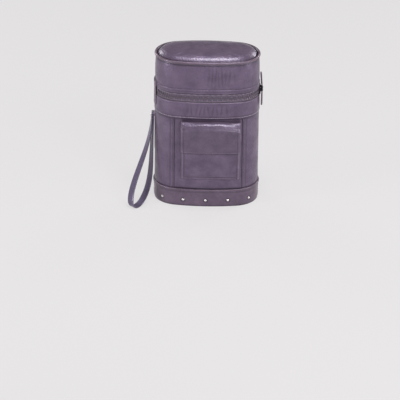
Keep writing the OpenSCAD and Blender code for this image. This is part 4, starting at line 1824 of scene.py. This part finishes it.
@dataclass
class Studio:
    """Pale floor, soft light and the photograph's camera."""

    aim: tuple[float, float, float] = (0.0, 0.0, 0.130)
    azimuth: float = 0.8
    elevation: float = 25.0
    distance: float = 6.0
    lens: float = 308.9
    sensor_mm: float = 36.0
    farthest: float = 60.0
    roll: float = -0.73
    spot: tuple[float, float] = (205.76, 127.3)
    frame_px: float = 400.0
    floor_size: float = 40.0
    floor_z: float = -0.0003
    floor_colour: str = "#e0dedf"
    even_share: float = 0.85
    ambient: float = 0.24
    ambient_colour: str = "#fdfdff"
    lamps: tuple[Lamp, ...] = (
        Lamp("key", (0.95, -1.4, 1.4), 0.5, 14.5),
        Lamp("front", (0.3, -1.5, 0.45), 0.4, 4.0),
        Lamp("top", (0.1, -0.25, 1.8), 0.5, 20.0),
        Lamp("right", (1.2, -0.5, 0.3), 0.35, 5.0),
        Lamp("left", (-1.2, -0.6, 0.35), 0.35, 9.5),
        Lamp("back_right", (1.1, 1.1, 0.8), 0.5, 7.0),
        Lamp("back_left", (-1.1, 1.1, 0.8), 0.5, 7.0),
    )

    def build(self) -> None:
        """Sets up the floor, the lights, the world and the camera."""
        self._floor()
        self._world()
        for lamp in self.lamps:
            lamp.hang(Vector(self.aim))
        self._camera()
        bpy.context.scene.view_settings.view_transform = "Standard"

    def _floor(self) -> None:
        """Lays a wide floor of matt paper just under the case, evenly pale to the eye."""
        bm = bmesh.new()
        bmesh.ops.create_grid(bm, x_segments=1, y_segments=1, size=self.floor_size)
        bmesh.ops.translate(bm, vec=(0, 0, self.floor_z), verts=bm.verts)
        made, tree, skin = new_material("pale_paper")
        pale = linear(self.floor_colour)
        wire(tree, skin, {"Base Color": pale, "Roughness": 0.9, "Specular IOR Level": 0.1}, None)
        even = add_node(tree, "Emission", {"Color": pale})
        # Only rays from the camera, or off a glossy or clear surface, see the even paleness.
        rays = add_node(tree, "LightPath").outputs
        seen = rays["Is Camera Ray"]
        for other in ("Is Glossy Ray", "Is Transmission Ray"):
            seen = add_node(
                tree, "Math", None, {0: seen, 1: rays[other]}, operation="ADD", use_clamp=True,
            ).outputs[0]
        share = add_node(tree, "Math", {1: self.even_share}, {0: seen}, operation="MULTIPLY")
        mixed = add_node(tree, "MixShader", None, {0: share, 1: skin, 2: even})
        wire(tree, tree.nodes["Material Output"], None, {"Surface": mixed})
        add_object("floor", bm, made)

    def _world(self) -> None:
        """Gives even light from all round."""
        world = bpy.data.worlds.new("studio")
        bpy.context.scene.world = world
        world.use_nodes = True
        values = {"Color": linear(self.ambient_colour), "Strength": self.ambient}
        wire(world.node_tree, world.node_tree.nodes["Background"], values, None)

    def _camera(self) -> None:
        """Sets the camera so that the case stands where the photograph has it."""
        lens = bpy.data.cameras.new("camera")
        lens.lens = self.lens
        lens.sensor_width = self.sensor_mm
        lens.clip_end = self.farthest
        made = bpy.data.objects.new("camera", lens)
        a, e = math.radians(self.azimuth), math.radians(self.elevation)
        back = Vector((math.sin(a) * math.cos(e), -math.cos(a) * math.cos(e), math.sin(e)))
        made.location = Vector(self.aim) + back * self.distance
        level = (-back).to_track_quat("-Z", "Y")
        per_px = lens.sensor_width / lens.lens / self.frame_px
        right = math.atan((self.spot[0] - self.frame_px / 2) * per_px)
        up = math.atan((self.frame_px / 2 - self.spot[1]) * per_px)
        turn = (
            Matrix.Rotation(right, 3, "Y")
            @ Matrix.Rotation(-up, 3, "X")
            @ Matrix.Rotation(math.radians(-self.roll), 3, "Z")
        )
        made.rotation_mode = "QUATERNION"
        made.rotation_quaternion = (level.to_matrix() @ turn).to_quaternion()
        bpy.context.scene.collection.objects.link(made)
        bpy.context.scene.camera = made


def main() -> None:
    """Builds the case, sub-assembly by sub-assembly, in its studio."""
    logging.basicConfig(level=logging.INFO, format="%(message)s")
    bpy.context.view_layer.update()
    Studio().build()
    outline, finishes = Outline(), Finishes()
    parts = [
        CaseBody(outline, finishes),
        Lid(outline, finishes),
        Zip(outline, finishes),
        LidHinge(outline, finishes),
        *(CardPocket(outline, finishes, face) for face in Face),
        WristStrap(outline, finishes),
        Insides(finishes),
    ]
    for part in parts:
        LOG.info("building %s", type(part).__name__)
        part.build()


if __name__ == "__main__":
    main()
